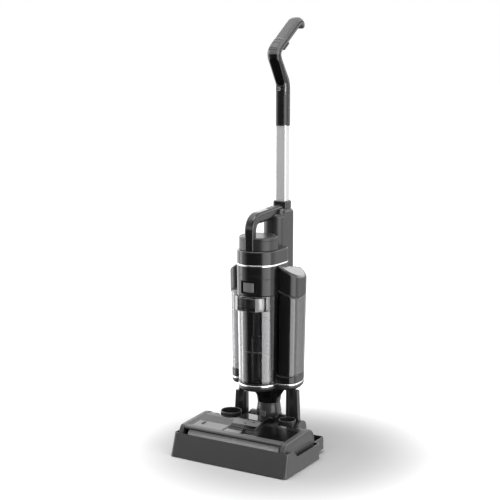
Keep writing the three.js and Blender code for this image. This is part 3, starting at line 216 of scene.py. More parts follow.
# profile of radius and height turned about an axis through centre; a loop profile leaves a hole
def lathe(profile, centre, along="z", sides=64, loop=False):
    angle = np.linspace(0, 2 * np.pi, sides, endpoint=False)
    profile = np.asarray(profile, float)
    flat = np.stack([
        centre[0] + profile[:, :1] * np.cos(angle), centre[1] + profile[:, :1] * np.sin(angle),
    ], -1)
    return skin(placed(flat, profile[:, 1], along), loop=loop)


# closed profile with rounded corners, turned into a ring
def ringLathe(corners, radii, centre, along="z", sides=64, steps=4):
    return lathe(rounded(corners, radii, steps=steps)[0], centre, along, sides, loop=True)


# cross-sections carried along a path in y and z: x keeps the width, the path's normal takes the thickness
def carried(points, sections):
    along = np.gradient(points, axis=0)
    along /= np.linalg.norm(along, axis=1, keepdims=True)
    normal = np.stack([-along[:, 1], along[:, 0]], 1)
    place = points[:, None] + sections[..., 1:] * normal[:, None]
    return np.concatenate([sections[..., :1], place], -1)


# points at given lengths of a path whose corners are cut by quadratic curves
def curvedPath(corners, cuts, count=400):
    corners = np.asarray(corners, float)
    share = np.linspace(0, 1, 40)[:, None]
    parts = [corners[:1]]
    for before, corner, after, cut in zip(corners[:-2], corners[1:-1], corners[2:], cuts):
        start = corner + (before - corner) * cut / np.linalg.norm(before - corner)
        end = corner + (after - corner) * cut / np.linalg.norm(after - corner)
        parts.append((1 - share) ** 2 * start + 2 * share * (1 - share) * corner + share ** 2 * end)
    parts.append(corners[-1:])
    points = np.vstack(parts)
    length = np.concatenate([[0], np.cumsum(np.linalg.norm(np.diff(points, axis=0), axis=1))])
    even = np.linspace(0, length[-1], count)
    return np.stack([np.interp(even, length, points[:, i]) for i in range(2)], 1), length[-1]


# point on an evenly spaced path at a share of its length
def pathAt(points, share):
    even = np.linspace(0, 1, len(points))
    return np.stack([np.interp(share, even, points[:, i]) for i in range(2)], -1)


def mirrored(surface):
    points, groups = surface
    return points * [-1, 1, 1], [group[:, ::-1] for group in groups]


def joined(*surfaces):
    points, groups, start = [], [], 0
    for surfacePoints, surfaceGroups in surfaces:
        points.append(surfacePoints)
        groups += [group + start for group in surfaceGroups]
        start += len(surfacePoints)
    return np.vstack(points), groups


# directions that four-sided faces point in
def normals(points, faces):
    corners = points[faces]
    return np.cross(corners[:, 1] - corners[:, 0], corners[:, 3] - corners[:, 0])


# leaves out the points that no face uses
def trimmed(points, groups):
    used = np.unique(np.concatenate([group.ravel() for group in groups]))
    index = np.zeros(len(points), int)
    index[used] = np.arange(len(used))
    return points[used], [index[group] for group in groups]


# round well in the front of a surface: its forward faces inside a window make way for rings that lead
# from its edge to a circle on the surface, whose y is a fit in powers of x and z, and back to a floor
def bored(surface, centre, window, radius, depth):
    points, groups = surface
    off = points[:, [0, 2]] - centre
    inside = (abs(off) < window).all(1)[groups[0]].all(1) & (normals(points, groups[0])[:, 1] < 0)
    cut, rest = groups[0][inside], groups[0][~inside]
    edge = np.intersect1d(cut, rest)
    turn = np.arctan2(off[edge, 1], off[edge, 0])
    edge, turn = edge[np.argsort(turn)], np.sort(turn)
    powers = lambda off: np.concatenate([off[:, :1] ** np.arange(5), off[:, 1:] ** np.arange(1, 3)], axis=1)
    known = np.unique(cut)
    fit = np.linalg.lstsq(powers(off[known]), points[known, 1], rcond=None)[0]
    ring = radius * np.stack([np.cos(turn), np.sin(turn)], -1)
    depths = powers(ring) @ fit
    rim = np.stack([ring[:, 0] + centre[0], depths, ring[:, 1] + centre[1]], -1)
    floor = rim * [1, 0, 1] + [0, depths.min() + depth, 0]
    count, start = len(edge), len(points)
    loops = np.stack([edge, start + np.arange(count), start + count + np.arange(count)])
    follow = np.roll(loops, -1, 1)
    quads = np.stack([loops[:-1], follow[:-1], follow[1:], loops[1:]], -1).reshape(-1, 4)
    return trimmed(np.vstack([points, rim, floor]), [rest, quads, loops[2:]] + groups[1:])


# new object in the scene
def placedObject(name, data):
    made = bpy.data.objects.new(name, data)
    bpy.context.scene.collection.objects.link(made)
    return made


# says what an object rides on and which CAD nodes it stands for
def declared(made, body, nodes):
    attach(made, body)
    if nodes:
        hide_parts(*nodes)


# makes the object: rides on a body, stands for CAD nodes, and takes the finish it is given
def piece(name, body, material, surface, nodes=(), angle=32, bevel=0, thickness=0, uneven=False):
    points, groups = surface
    mesh = bpy.data.meshes.new(name)
    faces = [face for group in groups for face in group.tolist()]
    mesh.from_pydata(((points + shift) * mm).tolist(), [], faces)
    mesh.validate()
    mesh.shade_smooth()
    mesh.set_sharp_from_angle(angle=np.radians(angle))
    mesh.materials.append(material)
    made = placedObject(name, mesh)
    if thickness:
        solidify = made.modifiers.new("thickness", "SOLIDIFY")
        solidify.thickness = thickness * mm
        solidify.offset = -1
    if bevel:
        addBevel(made, bevel)
    if not uneven:
        made.modifiers.new("evenShading", "WEIGHTED_NORMAL").keep_sharp = True
    declared(made, body, nodes)


def addBevel(made, width, segments=2):
    bevel = made.modifiers.new("edges", "BEVEL")
    bevel.width = width * mm
    bevel.segments = segments
    bevel.limit_method = "ANGLE"
    bevel.angle_limit = np.radians(30)


# copy of a plain CAD node with eased edges, which stands for the node
def eased(node, body, material, width=0.6):
    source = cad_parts[node]
    mesh = source.data.copy()
    mesh.materials.clear()
    mesh.materials.append(material)
    made = placedObject(node + "_eased", mesh)
    weld = made.modifiers.new("weld", "WELD")
    weld.merge_threshold = 0.00002
    flat = made.modifiers.new("flat", "DECIMATE")
    flat.decimate_type = "DISSOLVE"
    flat.angle_limit = np.radians(1)
    addBevel(made, width)
    made.modifiers.new("evenShading", "WEIGHTED_NORMAL").keep_sharp = True
    mesh.shade_smooth()
    declared(made, body, [node])


# gives a CAD node a material
def finished(material, *nodes):
    for name in nodes:
        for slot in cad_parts[name].material_slots:
            slot.material = material


# Finishes.

# puts a source on a socket: a link from another node's socket, or a plain value
def feed(tree, socket, source):
    if isinstance(source, bpy.types.NodeSocket):
        tree.links.new(source, socket)
    else:
        socket.default_value = source


# shader node: sources feed its sockets in order, names are its settings or, with _ for a space, its sockets
def node(tree, kind, *sources, **named):
    made = tree.nodes.new(kind)
    settings = [name for name in named if hasattr(made, name)]
    for name in settings:
        setattr(made, name, named[name])
    for socket, source in zip(made.inputs, sources):
        feed(tree, socket, source)
    for name, source in named.items():
        if name not in settings:
            feed(tree, made.inputs[name.replace("_", " ")], source)
    return made


def calculated(tree, operation, *sources, clamp=False):
    return node(tree, "ShaderNodeMath", *sources, operation=operation, use_clamp=clamp).outputs[0]


# maps a value from one range to another
def ranged(tree, value, fromLow=0.0, fromHigh=1.0, toLow=0.0, toHigh=1.0, kind="LINEAR"):
    sources = (value, fromLow, fromHigh, toLow, toHigh)
    return node(tree, "ShaderNodeMapRange", *sources, interpolation_type=kind).outputs["Result"]


def mixed(tree, share, first, second):
    made = node(tree, "ShaderNodeMix", share, data_type="RGBA")
    feed(tree, made.inputs[6], first)
    feed(tree, made.inputs[7], second)
    return made.outputs[2]


def newGroup(name, inputs, outputs):
    group = bpy.data.node_groups.new(name, "ShaderNodeTree")
    for label, kind, value in inputs:
        socket = group.interface.new_socket(name=label, in_out="INPUT", socket_type=kind)
        socket.default_value = value
    for label, kind in outputs:
        group.interface.new_socket(name=label, in_out="OUTPUT", socket_type=kind)
    return group, group.nodes.new("NodeGroupInput").outputs, group.nodes.new("NodeGroupOutput").inputs


# moulded plastic: fine spark-eroded grain in the normal, cloudy gloss, edges paled by pointiness as rubbed
# wear and as a painted highlight, dust on top
def makeMoulded():
    group, given, result = newGroup("mouldedSurface", [
        ("Color", "NodeSocketColor", (0.02, 0.02, 0.02, 1)),
        ("Roughness", "NodeSocketFloat", 0.4),
        ("Grain Size", "NodeSocketFloat", 900.0),
        ("Grain Depth", "NodeSocketFloat", 0.1),
        ("WearAndHighlight", "NodeSocketFloat", 0.3),
        ("Dust", "NodeSocketFloat", 0.1),
    ], [("Color", "NodeSocketColor"), ("Roughness", "NodeSocketFloat"), ("Normal", "NodeSocketVector")])
    place = node(group, "ShaderNodeTexCoord").outputs["Object"]
    geometry = node(group, "ShaderNodeNewGeometry").outputs
    grain = node(group, "ShaderNodeTexNoise", Vector=place, Scale=given["Grain Size"], Detail=2.0)
    clouds = node(group, "ShaderNodeTexNoise", Vector=place, Scale=14.0, Detail=4.0)
    specks = node(group, "ShaderNodeTexNoise", Vector=place, Scale=420.0, Detail=1.0)
    bump = node(
        group, "ShaderNodeBump", Distance=0.0003, Strength=given["Grain Depth"], Height=grain.outputs[0],
    )
    # sharp edges are paled: partly rubbed wear, partly a painted highlight along the rims
    edge = ranged(group, geometry["Pointiness"], 0.52, 0.62)
    rubbedAndLitEdge = calculated(group, "MULTIPLY", edge, given["WearAndHighlight"])
    pale = mixed(group, rubbedAndLitEdge, given["Color"], (0.22, 0.22, 0.225, 1))
    upward = node(group, "ShaderNodeSeparateXYZ", geometry["Normal"]).outputs["Z"]
    settled = ranged(group, upward, 0.55, 1.0)
    speckled = ranged(group, specks.outputs[0], 0.52, 0.74)
    dusty = calculated(group, "MULTIPLY", settled, speckled)
    dust = calculated(group, "MULTIPLY", dusty, given["Dust"])
    gloss = ranged(group, clouds.outputs[0], toLow=-0.05, toHigh=0.07)
    rough = calculated(group, "ADD", gloss, given["Roughness"], clamp=True)
    feed(group, result["Color"], mixed(group, dust, pale, (0.42, 0.41, 0.39, 1)))
    feed(group, result["Roughness"], calculated(group, "ADD", rough, dust, clamp=True))
    feed(group, result["Normal"], bump.outputs["Normal"])
    return group


# drawn metal: streaks of gloss along one direction and a faint ripple
def makeDrawn():
    group, given, result = newGroup("drawnSurface", [
        ("Roughness", "NodeSocketFloat", 0.3),
        ("Stretch", "NodeSocketVector", (1.0, 1.0, 0.02)),
    ], [("Roughness", "NodeSocketFloat"), ("Normal", "NodeSocketVector")])
    place = node(group, "ShaderNodeTexCoord").outputs["Object"]
    stretched = node(group, "ShaderNodeVectorMath", place, given["Stretch"], operation="MULTIPLY")
    streaks = node(group, "ShaderNodeTexNoise", Vector=stretched.outputs[0], Scale=900.0, Detail=3.0)
    gloss = ranged(group, streaks.outputs[0], toLow=-0.07, toHigh=0.07)
    bump = node(group, "ShaderNodeBump", Strength=0.06, Distance=0.0002, Height=streaks.outputs[0])
    feed(group, result["Roughness"], calculated(group, "ADD", gloss, given["Roughness"], clamp=True))
    feed(group, result["Normal"], bump.outputs["Normal"])
    return group


mouldedSurface = makeMoulded()
drawnSurface = makeDrawn()


def newMaterial(name, **sockets):
    material = bpy.data.materials.new(name)
    material.use_nodes = True
    tree = material.node_tree
    shader = tree.nodes["Principled BSDF"]
    for label, value in sockets.items():
        feed(tree, shader.inputs[label.replace("_", " ")], value)
    return material, tree, shader


# material whose gloss, normal and, unless it is given, colour come from a surface group
def surfaced(name, group, given, **sockets):
    material, tree, shader = newMaterial(name, **sockets)
    surface = node(tree, "ShaderNodeGroup", node_tree=group, **given).outputs
    if "Base_Color" not in sockets:
        feed(tree, shader.inputs["Base Color"], surface["Color"])
    feed(tree, shader.inputs["Roughness"], surface["Roughness"])
    feed(tree, shader.inputs["Normal"], surface["Normal"])
    return material


def moulded(name, color, roughness, grain=0.1, size=900.0, wearAndHighlight=0.3, dust=0.08, **sockets):
    given = {
        "Color": (*color, 1), "Roughness": roughness, "Grain_Size": size, "Grain_Depth": grain,
        "WearAndHighlight": wearAndHighlight, "Dust": dust,
    }
    return surfaced(name, mouldedSurface, given, **sockets)


def drawn(name, color, roughness, stretch=(1.0, 1.0, 0.02), metallic=1.0):
    given = {"Roughness": roughness, "Stretch": stretch}
    return surfaced(name, drawnSurface, given, Base_Color=(*color, 1), Metallic=metallic)


# clear smoked plastic: tinted glass with a faint moulding ripple and wiped patches
def smoked(name, color, roughness, ior):
    given = {"Roughness": roughness, "Grain_Size": 45.0, "Grain_Depth": 0.015, "WearAndHighlight": 0.0, "Dust": 0.0}
    return surfaced(
        name, mouldedSurface, given, Base_Color=(*color, 1), Transmission_Weight=1.0, IOR=ior,
    )


# fleece: short soft pile, tufts in the normal, painted light on the tufts' middles and painted shade between
# them, and a velvet sheen
def fleeceCloth(name, color):
    material, tree, shader = newMaterial(name, Roughness=0.95, Sheen_Weight=0.5)
    place = node(tree, "ShaderNodeTexCoord").outputs["Object"]
    tufts = node(tree, "ShaderNodeTexVoronoi", Vector=place, Scale=420.0).outputs["Distance"]
    strands = node(tree, "ShaderNodeTexNoise", Vector=place, Scale=1400.0, Detail=3.0).outputs[0]
    # the paler colour at the tufts' middles is painted light, the darker colour between tufts painted shade
    litTip, shadedRoot = ((*[value * share for value in color], 1) for share in (1.12, 0.75))
    pile = calculated(tree, "ADD", tufts, strands)
    bump = node(tree, "ShaderNodeBump", Strength=0.4, Distance=0.0008, Height=pile)
    feed(tree, shader.inputs["Base Color"], mixed(tree, tufts, litTip, shadedRoot))
    feed(tree, shader.inputs["Normal"], bump.outputs["Normal"])
    return material


# the dock's strong edge paling is mostly a painted highlight along its rims
dockShell = moulded("dock_shell", (0.019, 0.019, 0.020), 0.30, grain=0.25, size=1400, wearAndHighlight=0.8, dust=0.05)
satinBlack = moulded("satin_black", (0.016, 0.016, 0.017), 0.34, grain=0.10, size=1500, wearAndHighlight=0.35)
satinGloss = moulded("satin_gloss", (0.007, 0.007, 0.0075), 0.20, grain=0.05, size=1500, wearAndHighlight=0.25)
glossBlack = moulded("gloss_black", (0.006, 0.006, 0.0065), 0.10, grain=0.02, size=300, wearAndHighlight=0.15, dust=0.03)
coverBlack = moulded(
    "cover_black", (0.005, 0.005, 0.0055), 0.14, grain=0.02, size=300, wearAndHighlight=0.15, dust=0.03,
    Specular_IOR_Level=0.28,
)
litSideGrey = moulded("grey_shell", (0.045, 0.045, 0.047), 0.40, grain=0.18, size=1300, wearAndHighlight=0.3)
softTouch = moulded("soft_touch", (0.075, 0.075, 0.078), 0.62, grain=0.35, size=1700, wearAndHighlight=0.15)
whitePlastic = moulded("white_plastic", (0.62, 0.62, 0.60), 0.42, grain=0.08, size=1000, wearAndHighlight=0.0)
blackRubber = moulded("black_rubber", (0.012, 0.012, 0.012), 0.78, grain=0.4, size=800, wearAndHighlight=0.2)
circuitBoard = moulded("circuit_board", (0.01, 0.09, 0.035), 0.4, grain=0.3, size=500, wearAndHighlight=0.0)
batteryWrap = moulded("battery_wrap", (0.03, 0.08, 0.22), 0.3, grain=0.05, size=300, wearAndHighlight=0.0)
padGrey = moulded("pad_grey", (0.085, 0.085, 0.087), 0.45, grain=0.2, size=1300, wearAndHighlight=0.2)
handleGrey = moulded("handle_grey", (0.085, 0.085, 0.087), 0.38, grain=0.12, size=1500, wearAndHighlight=0.3)
plateGrey = moulded("plate_grey", (0.17, 0.17, 0.173), 0.34, grain=0.1, size=1300, wearAndHighlight=0.2, dust=0.0)
yokeGrey = moulded("yoke_grey", (0.050, 0.050, 0.052), 0.22, grain=0.08, size=1300, wearAndHighlight=0.4)
paleInk = moulded("pale_ink", (0.70, 0.70, 0.70), 0.4, grain=0.0, wearAndHighlight=0.0, dust=0.0)
silverTrim = drawn("silver_trim", (0.86, 0.86, 0.88), 0.16, stretch=(0.05, 0.05, 1.0))
anodisedTube = drawn("anodised_tube", (0.66, 0.66, 0.67), 0.34, metallic=0.45)
steel = drawn("steel", (0.56, 0.56, 0.57), 0.28, stretch=(0.02, 1.0, 1.0))
brass = drawn("brass", (0.60, 0.42, 0.16), 0.28, stretch=(0.02, 1.0, 1.0))
smokedClear = smoked("smoked_clear", (0.62, 0.62, 0.64), 0.04, 1.75)
smokedDark = smoked("smoked_dark", (0.50, 0.50, 0.51), 0.06, 1.62)
smokedGrey = smoked("smoked_grey", (0.42, 0.42, 0.43), 0.06, 1.75)
fleece = fleeceCloth("fleece", (0.50, 0.50, 0.505))
print("finishes made")


# The dock.

dock = {
    "wall": 3.0, "rim": 0.6, "frontLean": 17.0, "sideLean": 2.8, "corner": 9.0, "pocketDepth": 52.0,
    "pocketInset": 15.0, "pocketCorner": 7.0, "sideTop": 41.0, "notchStart": 32.0, "notchLength": 25.0,
    "floorTop": 19.4, "pocketUnderside": 10.0, "footTop": 16.4,
}


# open tray with leaning sides: feet, walls with a lower stretch at each side, and a pocket at the back
def makeDockTray():
    d = dock
    low, high = edges("dock_tray")
    front = low[1] - d["frontLean"] * low[2] / high[2]
    half, back, top = high[0] / (1 - d["sideLean"] / high[0] * low[2] / high[2]), high[1], high[2]
    step = back - d["pocketDepth"]
    inner = half - d["pocketInset"]
    corners = [
        (-half, front), (half, front), (half, step), (inner, step),
        (inner, back), (-inner, back), (-inner, step), (-half, step),
    ]
    radii = [d["corner"], d["corner"], 9, 2, d["pocketCorner"], d["pocketCorner"], 2, 9]
    turn = np.linspace(0, np.pi / 2, 5)
    rim, thick = d["rim"], d["wall"]
    # rows of kind, value, inset and share of the outline's size: the value is a height (kind 0), counts
    # from the foot (1) or the top edge (2), or is a share of the way between them (3)
    rows = [(0, d["footTop"], thick + rim, share) for share in np.linspace(0.02, 1, 4)]
    rows += [(1, rim * 0.6, thick, 1), (1, 0, thick - rim * 0.5, 1)]
    rows += [(1, rim * (1 - np.cos(t)), rim * (1 - np.sin(t)), 1) for t in turn]
    rows += [(3, between, 0, 1) for between in (0.25, 0.5, 0.75)]
    rows += [(2, -rim * (1 - np.sin(t)), rim * (1 - np.cos(t)), 1) for t in turn]
    rows += [(2, -rim * (1 - np.cos(t)), thick - rim * (1 - np.sin(t)), 1) for t in turn]
    rows += [(0, d["floorTop"] + 2, thick, 1), (0, d["floorTop"], thick + 2, 1)]
    rows += [(0, d["floorTop"], thick + 2, share) for share in np.linspace(0.8, 0.02, 4)]
    kind, value, inset, share = (np.array(column, float)[:, None] for column in zip(*rows))
    flat = divided(rounded(corners, radii, inset[:, 0], steps=6), 5.0)
    middle = np.array([0, (front + step) / 2])
    flat = middle + (flat - middle) * share[..., None]
    x, y = flat[..., 0], flat[..., 1]
    notch = front + d["notchStart"]
    notchEnd = notch + d["notchLength"]
    fall = np.interp(y, [notch - 4, notch, notchEnd, notchEnd + 4], [0, 0.04, 0.96, 1])
    edge = top + (d["sideTop"] - top) * fall
    foot = low[2] + (d["pocketUnderside"] - low[2]) * np.clip((y - step) / 2, 0, 1)
    z = np.select(
        [kind == 0, kind == 1, kind == 2],
        [value + 0 * x, foot + value, edge + value], foot + (edge - foot) * value,
    )
    lift = z / top
    behind = np.clip((y - step) / (front - step), 0, None)
    x = x * (1 - d["sideLean"] / half * lift)
    y = y + d["frontLean"] * lift * behind
    piece("dockTray", "dock", dockShell, skin(np.stack([x, y, z], -1)), ["dock_tray"])


cups = {"wall": 2.5, "floor": 48.0, "topRim": 1.25}


# cup for the spare roller or the cleaning brush: an open tube with a raised floor
def makeCup(side):
    name = "dock_cup_" + side.lower()
    low, high = edges(name)
    radius = (high[0] - low[0]) / 2
    inner = radius - cups["wall"]
    top, floor, under = high[2], cups["floor"], cups["floor"] - cups["wall"]
    surface = ringLathe([
        (0.4, under), (inner, under), (inner, low[2]), (radius, low[2]),
        (radius, top), (inner, top), (inner, floor), (0.4, floor),
    ], [0.1, 0.5, 0.4, 0.8, cups["topRim"], cups["topRim"], 3.0, 0.1], (low[:2] + high[:2]) / 2)
    piece("dockCup" + side, "dock", satinBlack, surface, [name], angle=40)


post = {"depth": 15.0, "grooveDepth": 8.0, "groove": (10.0, 23.0), "flare": 6.0, "width": 33.5}
rib = {"radius": 24.0, "thickness": 10.0, "rim": 2.0, "webRise": 12.0, "centreY": 76.0, "crown": 88.0}


# post with a groove in front for the charging contact; the right one has a round-topped rib beside it
def makePost(side):
    name = "dock_post_" + side.lower()
    low, high = edges(name)
    inner = low[0] if side == "Right" else -high[0]
    outer = inner + post["width"]
    front = edges("dock_contact_" + side.lower())[0][1] - 1
    back, floor = front + post["depth"], front + post["grooveDepth"]
    start, end = inner + post["groove"][0], inner + post["groove"][1]
    corners = [
        (inner, front), (start, front), (start, floor), (end, floor), (end, front), (outer, front),
        (outer, back), (inner, back),
    ]
    radii = [2.2, 0.8, 0.5, 0.5, 0.8, 2.2, 2.2, 2.2]

    def leaning(x, y, z):
        share = np.clip((x - end) / (outer - end), 0, 1)
        return x + post["flare"] * share * (high[2] - z) / (high[2] - low[2]), y

    shaft = block(
        lambda inset: rounded(corners, radii, inset), low[2], high[2], (0.5, 1.6), leaning,
        centre=(inner + 4, front + 12), middle=6,
    )
    if side == "Right":
        left, radius, crown = high[0] - rib["thickness"], rib["radius"], rib["crown"]
        near, far = rib["centreY"] - radius, rib["centreY"] + radius
        corners = [(near, low[2]), (far, low[2]), (far, crown), (near, crown)]
        radii = [1, 1, radius - 0.01, radius - 0.01]
        plate = slab(corners, radii, left, high[0], rib["rim"], rib["rim"], "x", 14)
        web = prism(
            lambda inset: rectangle(outer - 3, left + 1, front + 2, back - 2, 0.5, inset),
            low[2], crown - radius + rib["webRise"], 0.3, 0.8,
        )
        shaft = joined(shaft, plate, web)
    else:
        shaft = mirrored(shaft)
    piece("dockPost" + side, "dock", dockShell, shaft, [name])


makeDockTray()
makeCup("Left")
makeCup("Right")
makePost("Left")
makePost("Right")
eased("dock_contact_left", "dock", glossBlack)
eased("dock_contact_right", "dock", glossBlack)
finished(blackRubber, "dock_foot")
print("dock made")


# The floor head.

head = {
    "rollerY": -63.0, "discRadius": 35.0, "discZ": 53.0, "low": 22.0, "frontTop": 80.0, "top": 85.0,
    "deckBack": 20.0, "earBack": 59.0, "earCorner": 34.0, "earLift": 10.0,
}


# side outline of the head in y and z: round front, gently rising top, round back corner
def headOutline(inset):
    h = head
    inset = asColumn(inset)
    radius = h["discRadius"] - inset
    low, top, back = h["low"] + inset, h["top"] - inset, h["earBack"] - inset
    corner = h["earCorner"]
    meet = np.arcsin(np.minimum(0.999, (h["frontTop"] - inset - h["discZ"]) / radius))
    foot = np.arcsin((low - h["discZ"]) / radius)
    disc = arc(h["rollerY"], h["discZ"], radius, np.pi - meet, np.pi - foot, 24)
    quarter = np.pi / 2 + 0 * inset
    crown = arc(back - corner + inset, top - corner + inset, corner - inset, 0 * inset, quarter, 10)
    rise = h["earLift"]
    ends = [(back - rise, low), (back - 0.8, low + rise - 0.8), (back, low + rise)]
    foot = [pointAt(y, z, inset) for y, z in ends]
    return np.concatenate([disc, *foot, crown, pointAt(h["deckBack"], top, inset)], axis=1)


sideCover = {
    "rim": 3.2, "innerRim": 0.6, "groove": (6.5, 8.1), "grooveDepth": 0.7,
    "dish": 0.3, "dishInset": (12.0, 20.0),
}


# the outer face is slightly dished and carries a groove that follows its edge
def makeSideCover(side):
    name = "side_cover_" + side.lower()
    low, high = edges(name)
    s = sideCover
    right = side == "Right"
    inner, outer = (low[0], high[0]) if right else (-high[0], -low[0])
    height, inset = wall(inner, outer, s["innerRim"], s["rim"], 5)
    start, end = s["groove"]
    floor, dish = outer - s["grooveDepth"], outer - s["dish"]
    height = np.append(height, [outer, floor, floor, outer, dish, dish])
    inset = np.append(inset, [start, start + 0.3, end - 0.3, end, *s["dishInset"]])
    surface = skin(placed(headOutline(inset), height, "x"))
    # the right cover's paler grey, against the black left one, is painted light from the right-hand lamp side
    piece(
        "sideCover" + side, "floor_head", litSideGrey if right else satinBlack,
        surface if right else mirrored(surface), [name],
    )


cover = {"thickness": 3.0, "lipRadius": 5.0, "window": (39.0, -42.3)}


# roller cover: its side profile carried across, with the notch for the suction channel left out
def makeRollerCover():
    low, high = edges("roller_cover")
    profile = bent([
        (low[1] + 0.6, high[2] - 12.6), (low[1] + 2.2, head["frontTop"] - 1.0), (high[1], high[2]),
    ], [cover["lipRadius"]], steps=8)
    share = np.linspace(0, 1, 34)[1:, None]
    profile = np.vstack([profile[:-1], profile[-2] + (profile[-1] - profile[-2]) * share])
    windowX, windowY = cover["window"]
    profile[np.argmin(abs(profile[:, 0] - windowY)), 0] = windowY
    x = np.concatenate([
        np.linspace(low[0], -windowX, 48), [-windowX + 0.01], np.linspace(-windowX + 1, windowX - 1, 26),
        [windowX - 0.01], np.linspace(windowX, high[0], 48),
    ])
    rows = np.stack(np.broadcast_arrays(x, profile[:, :1], profile[:, 1:]), -1)
    points, groups = skin(rows, closed=False, capped=False)
    centre = points[groups[0]].mean(1)
    faces = groups[0][(abs(centre[:, 0]) > windowX - 0.005) | (centre[:, 1] < windowY)]
    if normals(points, faces)[:, 2].sum() < 0:
        faces = faces[:, ::-1]
    piece(
        "rollerCover", "roller_cover_lid", coverBlack, trimmed(points, [faces]), ["roller_cover"],
        bevel=0.5, thickness=cover["thickness"],
    )


lip = {"width": 15.0, "thickness": 1.3, "round": 1.2, "out": 0.35}


# grey bar along the front edge of the roller cover
def makeCoverLip():
    low, high = edges("roller_cover")
    front, crown = low[1] + 2.4, head["frontTop"] - 1.0
    back = front + lip["width"]
    end = crown + (high[2] - crown) / (high[1] - front) * lip["width"]
    outline = [
        (front - 1.6, crown - 6.0), (front + 0.4, crown - 6.4), (front + 1.6, crown - lip["thickness"]),
        (back, end - lip["thickness"]), (back, end + lip["out"]), (front - 0.4, crown + lip["out"]),
        (front - 2.4, crown - 2.6),
    ]
    radii = [0.4, 0.4, 0.4, 0.3, 0.6, lip["round"], lip["round"]]
    surface = slab(outline, radii, low[0] + 0.4, high[0] - 0.4, 0.4, 0.4, "x")
    piece("coverLip", "roller_cover_lid", padGrey, surface)


# places are left, right, front and back
plates = {
    "lift": 0.35, "edge": 0.3, "front": (-127.0, -41.0, -75.5, -38.0), "rail": (-39.6, -38.0, -74.0, -6.0),
    "step": (-33.0, 12.0, -75.5, -58.0), "line": (24.0, 60.0, -74.5, -71.5),
    "notch": (-111.0, -103.0, -60.0, -42.0), "slot": (-33.0, 7.0, -56.0, -43.0),
}


# thin plate on the roof of the roller cover, which rises evenly to the back
def roofPlate(place, lift=plates["lift"], corner=1.0):
    low, high = edges("roller_cover")
    start, crown = low[1] + 2.2, head["frontTop"] - 1.0
    slope = (high[2] - crown) / (high[1] - start)
    z, inset = wall(-0.5, lift, 0.1, plates["edge"], 3)
    rings = placed(rectangle(*place, corner, inset), z)
    rings[..., 2] += crown + slope * (rings[..., 1] - start)
    return skin(rings)


# pale plates and the dark slots round the mouth of the suction channel
def makeCoverPlates():
    p = plates
    rail, step = roofPlate(p["rail"], 0.6, 0.5), roofPlate(p["step"], 0.6)
    pale = joined(roofPlate(p["front"]), rail, step, roofPlate(p["line"], 0.5))
    piece("coverPlates", "roller_cover_lid", plateGrey, pale)
    dark = joined(roofPlate(p["notch"], 0.9), roofPlate(p["slot"], 0.6, 2.0))
    piece("coverSlots", "roller_cover_lid", blackRubber, dark)


mouth = {
    "plate": (-36.0, 36.5, -28.0, -5.0), "slot": (-36.0, 3.0, -40.5, -31.0), "rise": 11.5 / 40,
    "spots": ((-1.0, -21.0), (19.0, -12.0)), "spotHalf": (3.4, 2.2),
}


# thin plate on the channel's sloping front
def slopePlate(place, lift, corner=2.0):
    front = edges("suction_channel")[0][1]
    z, inset = wall(-0.6, lift, 0.1, 0.4, 3)
    rings = placed(rectangle(*place, corner, inset), z)
    rings[..., 2] += head["frontTop"] + 3.5 + mouth["rise"] * (rings[..., 1] - front)
    return skin(rings)


# pale plate on the channel's front with a dark mouth below it and two dark spots
def makeChannelPlate():
    m = mouth
    piece("channelPlate", "floor_head", plateGrey, slopePlate(m["plate"], 0.5, 4.0))
    wide, deep = m["spotHalf"]
    spots = [slopePlate((x - wide, x + wide, y - deep, y + deep), 0.8, deep - 0.1) for x, y in m["spots"]]
    dark = joined(slopePlate(m["slot"], 0.4), *spots)
    piece("channelSlots", "floor_head", blackRubber, dark)


channel = {"base": 76.3, "edge": 2.0}


# raised channel that leads the air back to the neck
def makeSuctionChannel():
    low, high = edges("suction_channel")
    roof, base = head["frontTop"] + 3, channel["base"]
    corners = [
        (low[1], roof - 3), (20.3, 82), (20.3, base), (high[1], base), (high[1], base + 8), (40, high[2]),
        (-2, high[2]), (low[1], roof + 0.5),
    ]
    radii = [0.5, 0.5, 0.5, 1.0, 6.0, 14.0, 12.0, 1.5]
    surface = slab(corners, radii, low[0], high[0], channel["edge"], channel["edge"], "x")
    piece("suctionChannel", "floor_head", glossBlack, surface, ["suction_channel"])


# corners in y and z; the web joins the fork's cheek to the bar
chassis = {
    "bar": [(-28, 24), (20, 24), (20, 81.6), (-28, 79.6)],
    "ear": [(17.5, 23.5), (47.5, 23.5), (57.5, 33.5), (57.5, 83.3), (17.5, 83.3)],
    "web": [(18, 28), (100, 28), (112, 44), (109, 70), (106, 88.5), (92, 88.5), (62, hingeZ), (18, hingeZ)],
    "fork": [(18, 60), (80, 60), (110, 66), (106, 88.5), (92, 88.5), (62, hingeZ), (18, hingeZ)],
    "middle": [(18, 28), (61, 28), (61, hingeZ), (18, hingeZ)],
    "earInner": 119.0, "forkInner": 34.3, "forkOuter": 53.5,
}


# bar behind the roller, rounded outer corners and the fork that carries the neck
def makeChassis():
    c = chassis
    half, inner = edges("head_chassis")[1][0], c["forkInner"]
    bar = slab(c["bar"], [1] * 4, -half, half, 0.6, 0.6, "x")
    ear = slab(c["ear"], [1, 2, 2, 32.5, 1], c["earInner"], half, 1.5, 1.5, "x", 10)
    web = slab(c["web"], [1, 6, 10, 14, 9, 8, 6, 1], inner, inner + 3, 0.8, 0.8, "x", 8)
    fork = slab(c["fork"], [1, 20, 10, 9, 8, 6, 1], inner + 2, c["forkOuter"], 0.8, 2.5, "x", 8)
    middle = slab(c["middle"], [1] * 4, -inner - 1, inner + 1, 0.3, 0.3, "x")
    surface = joined(bar, ear, mirrored(ear), web, fork, mirrored(web), mirrored(fork), middle)
    piece("headChassis", "floor_head", satinBlack, surface, ["head_chassis"])


roller = {"rim": 2.5, "innerRadius": 22.0, "pile": 0.35, "seed": 7}


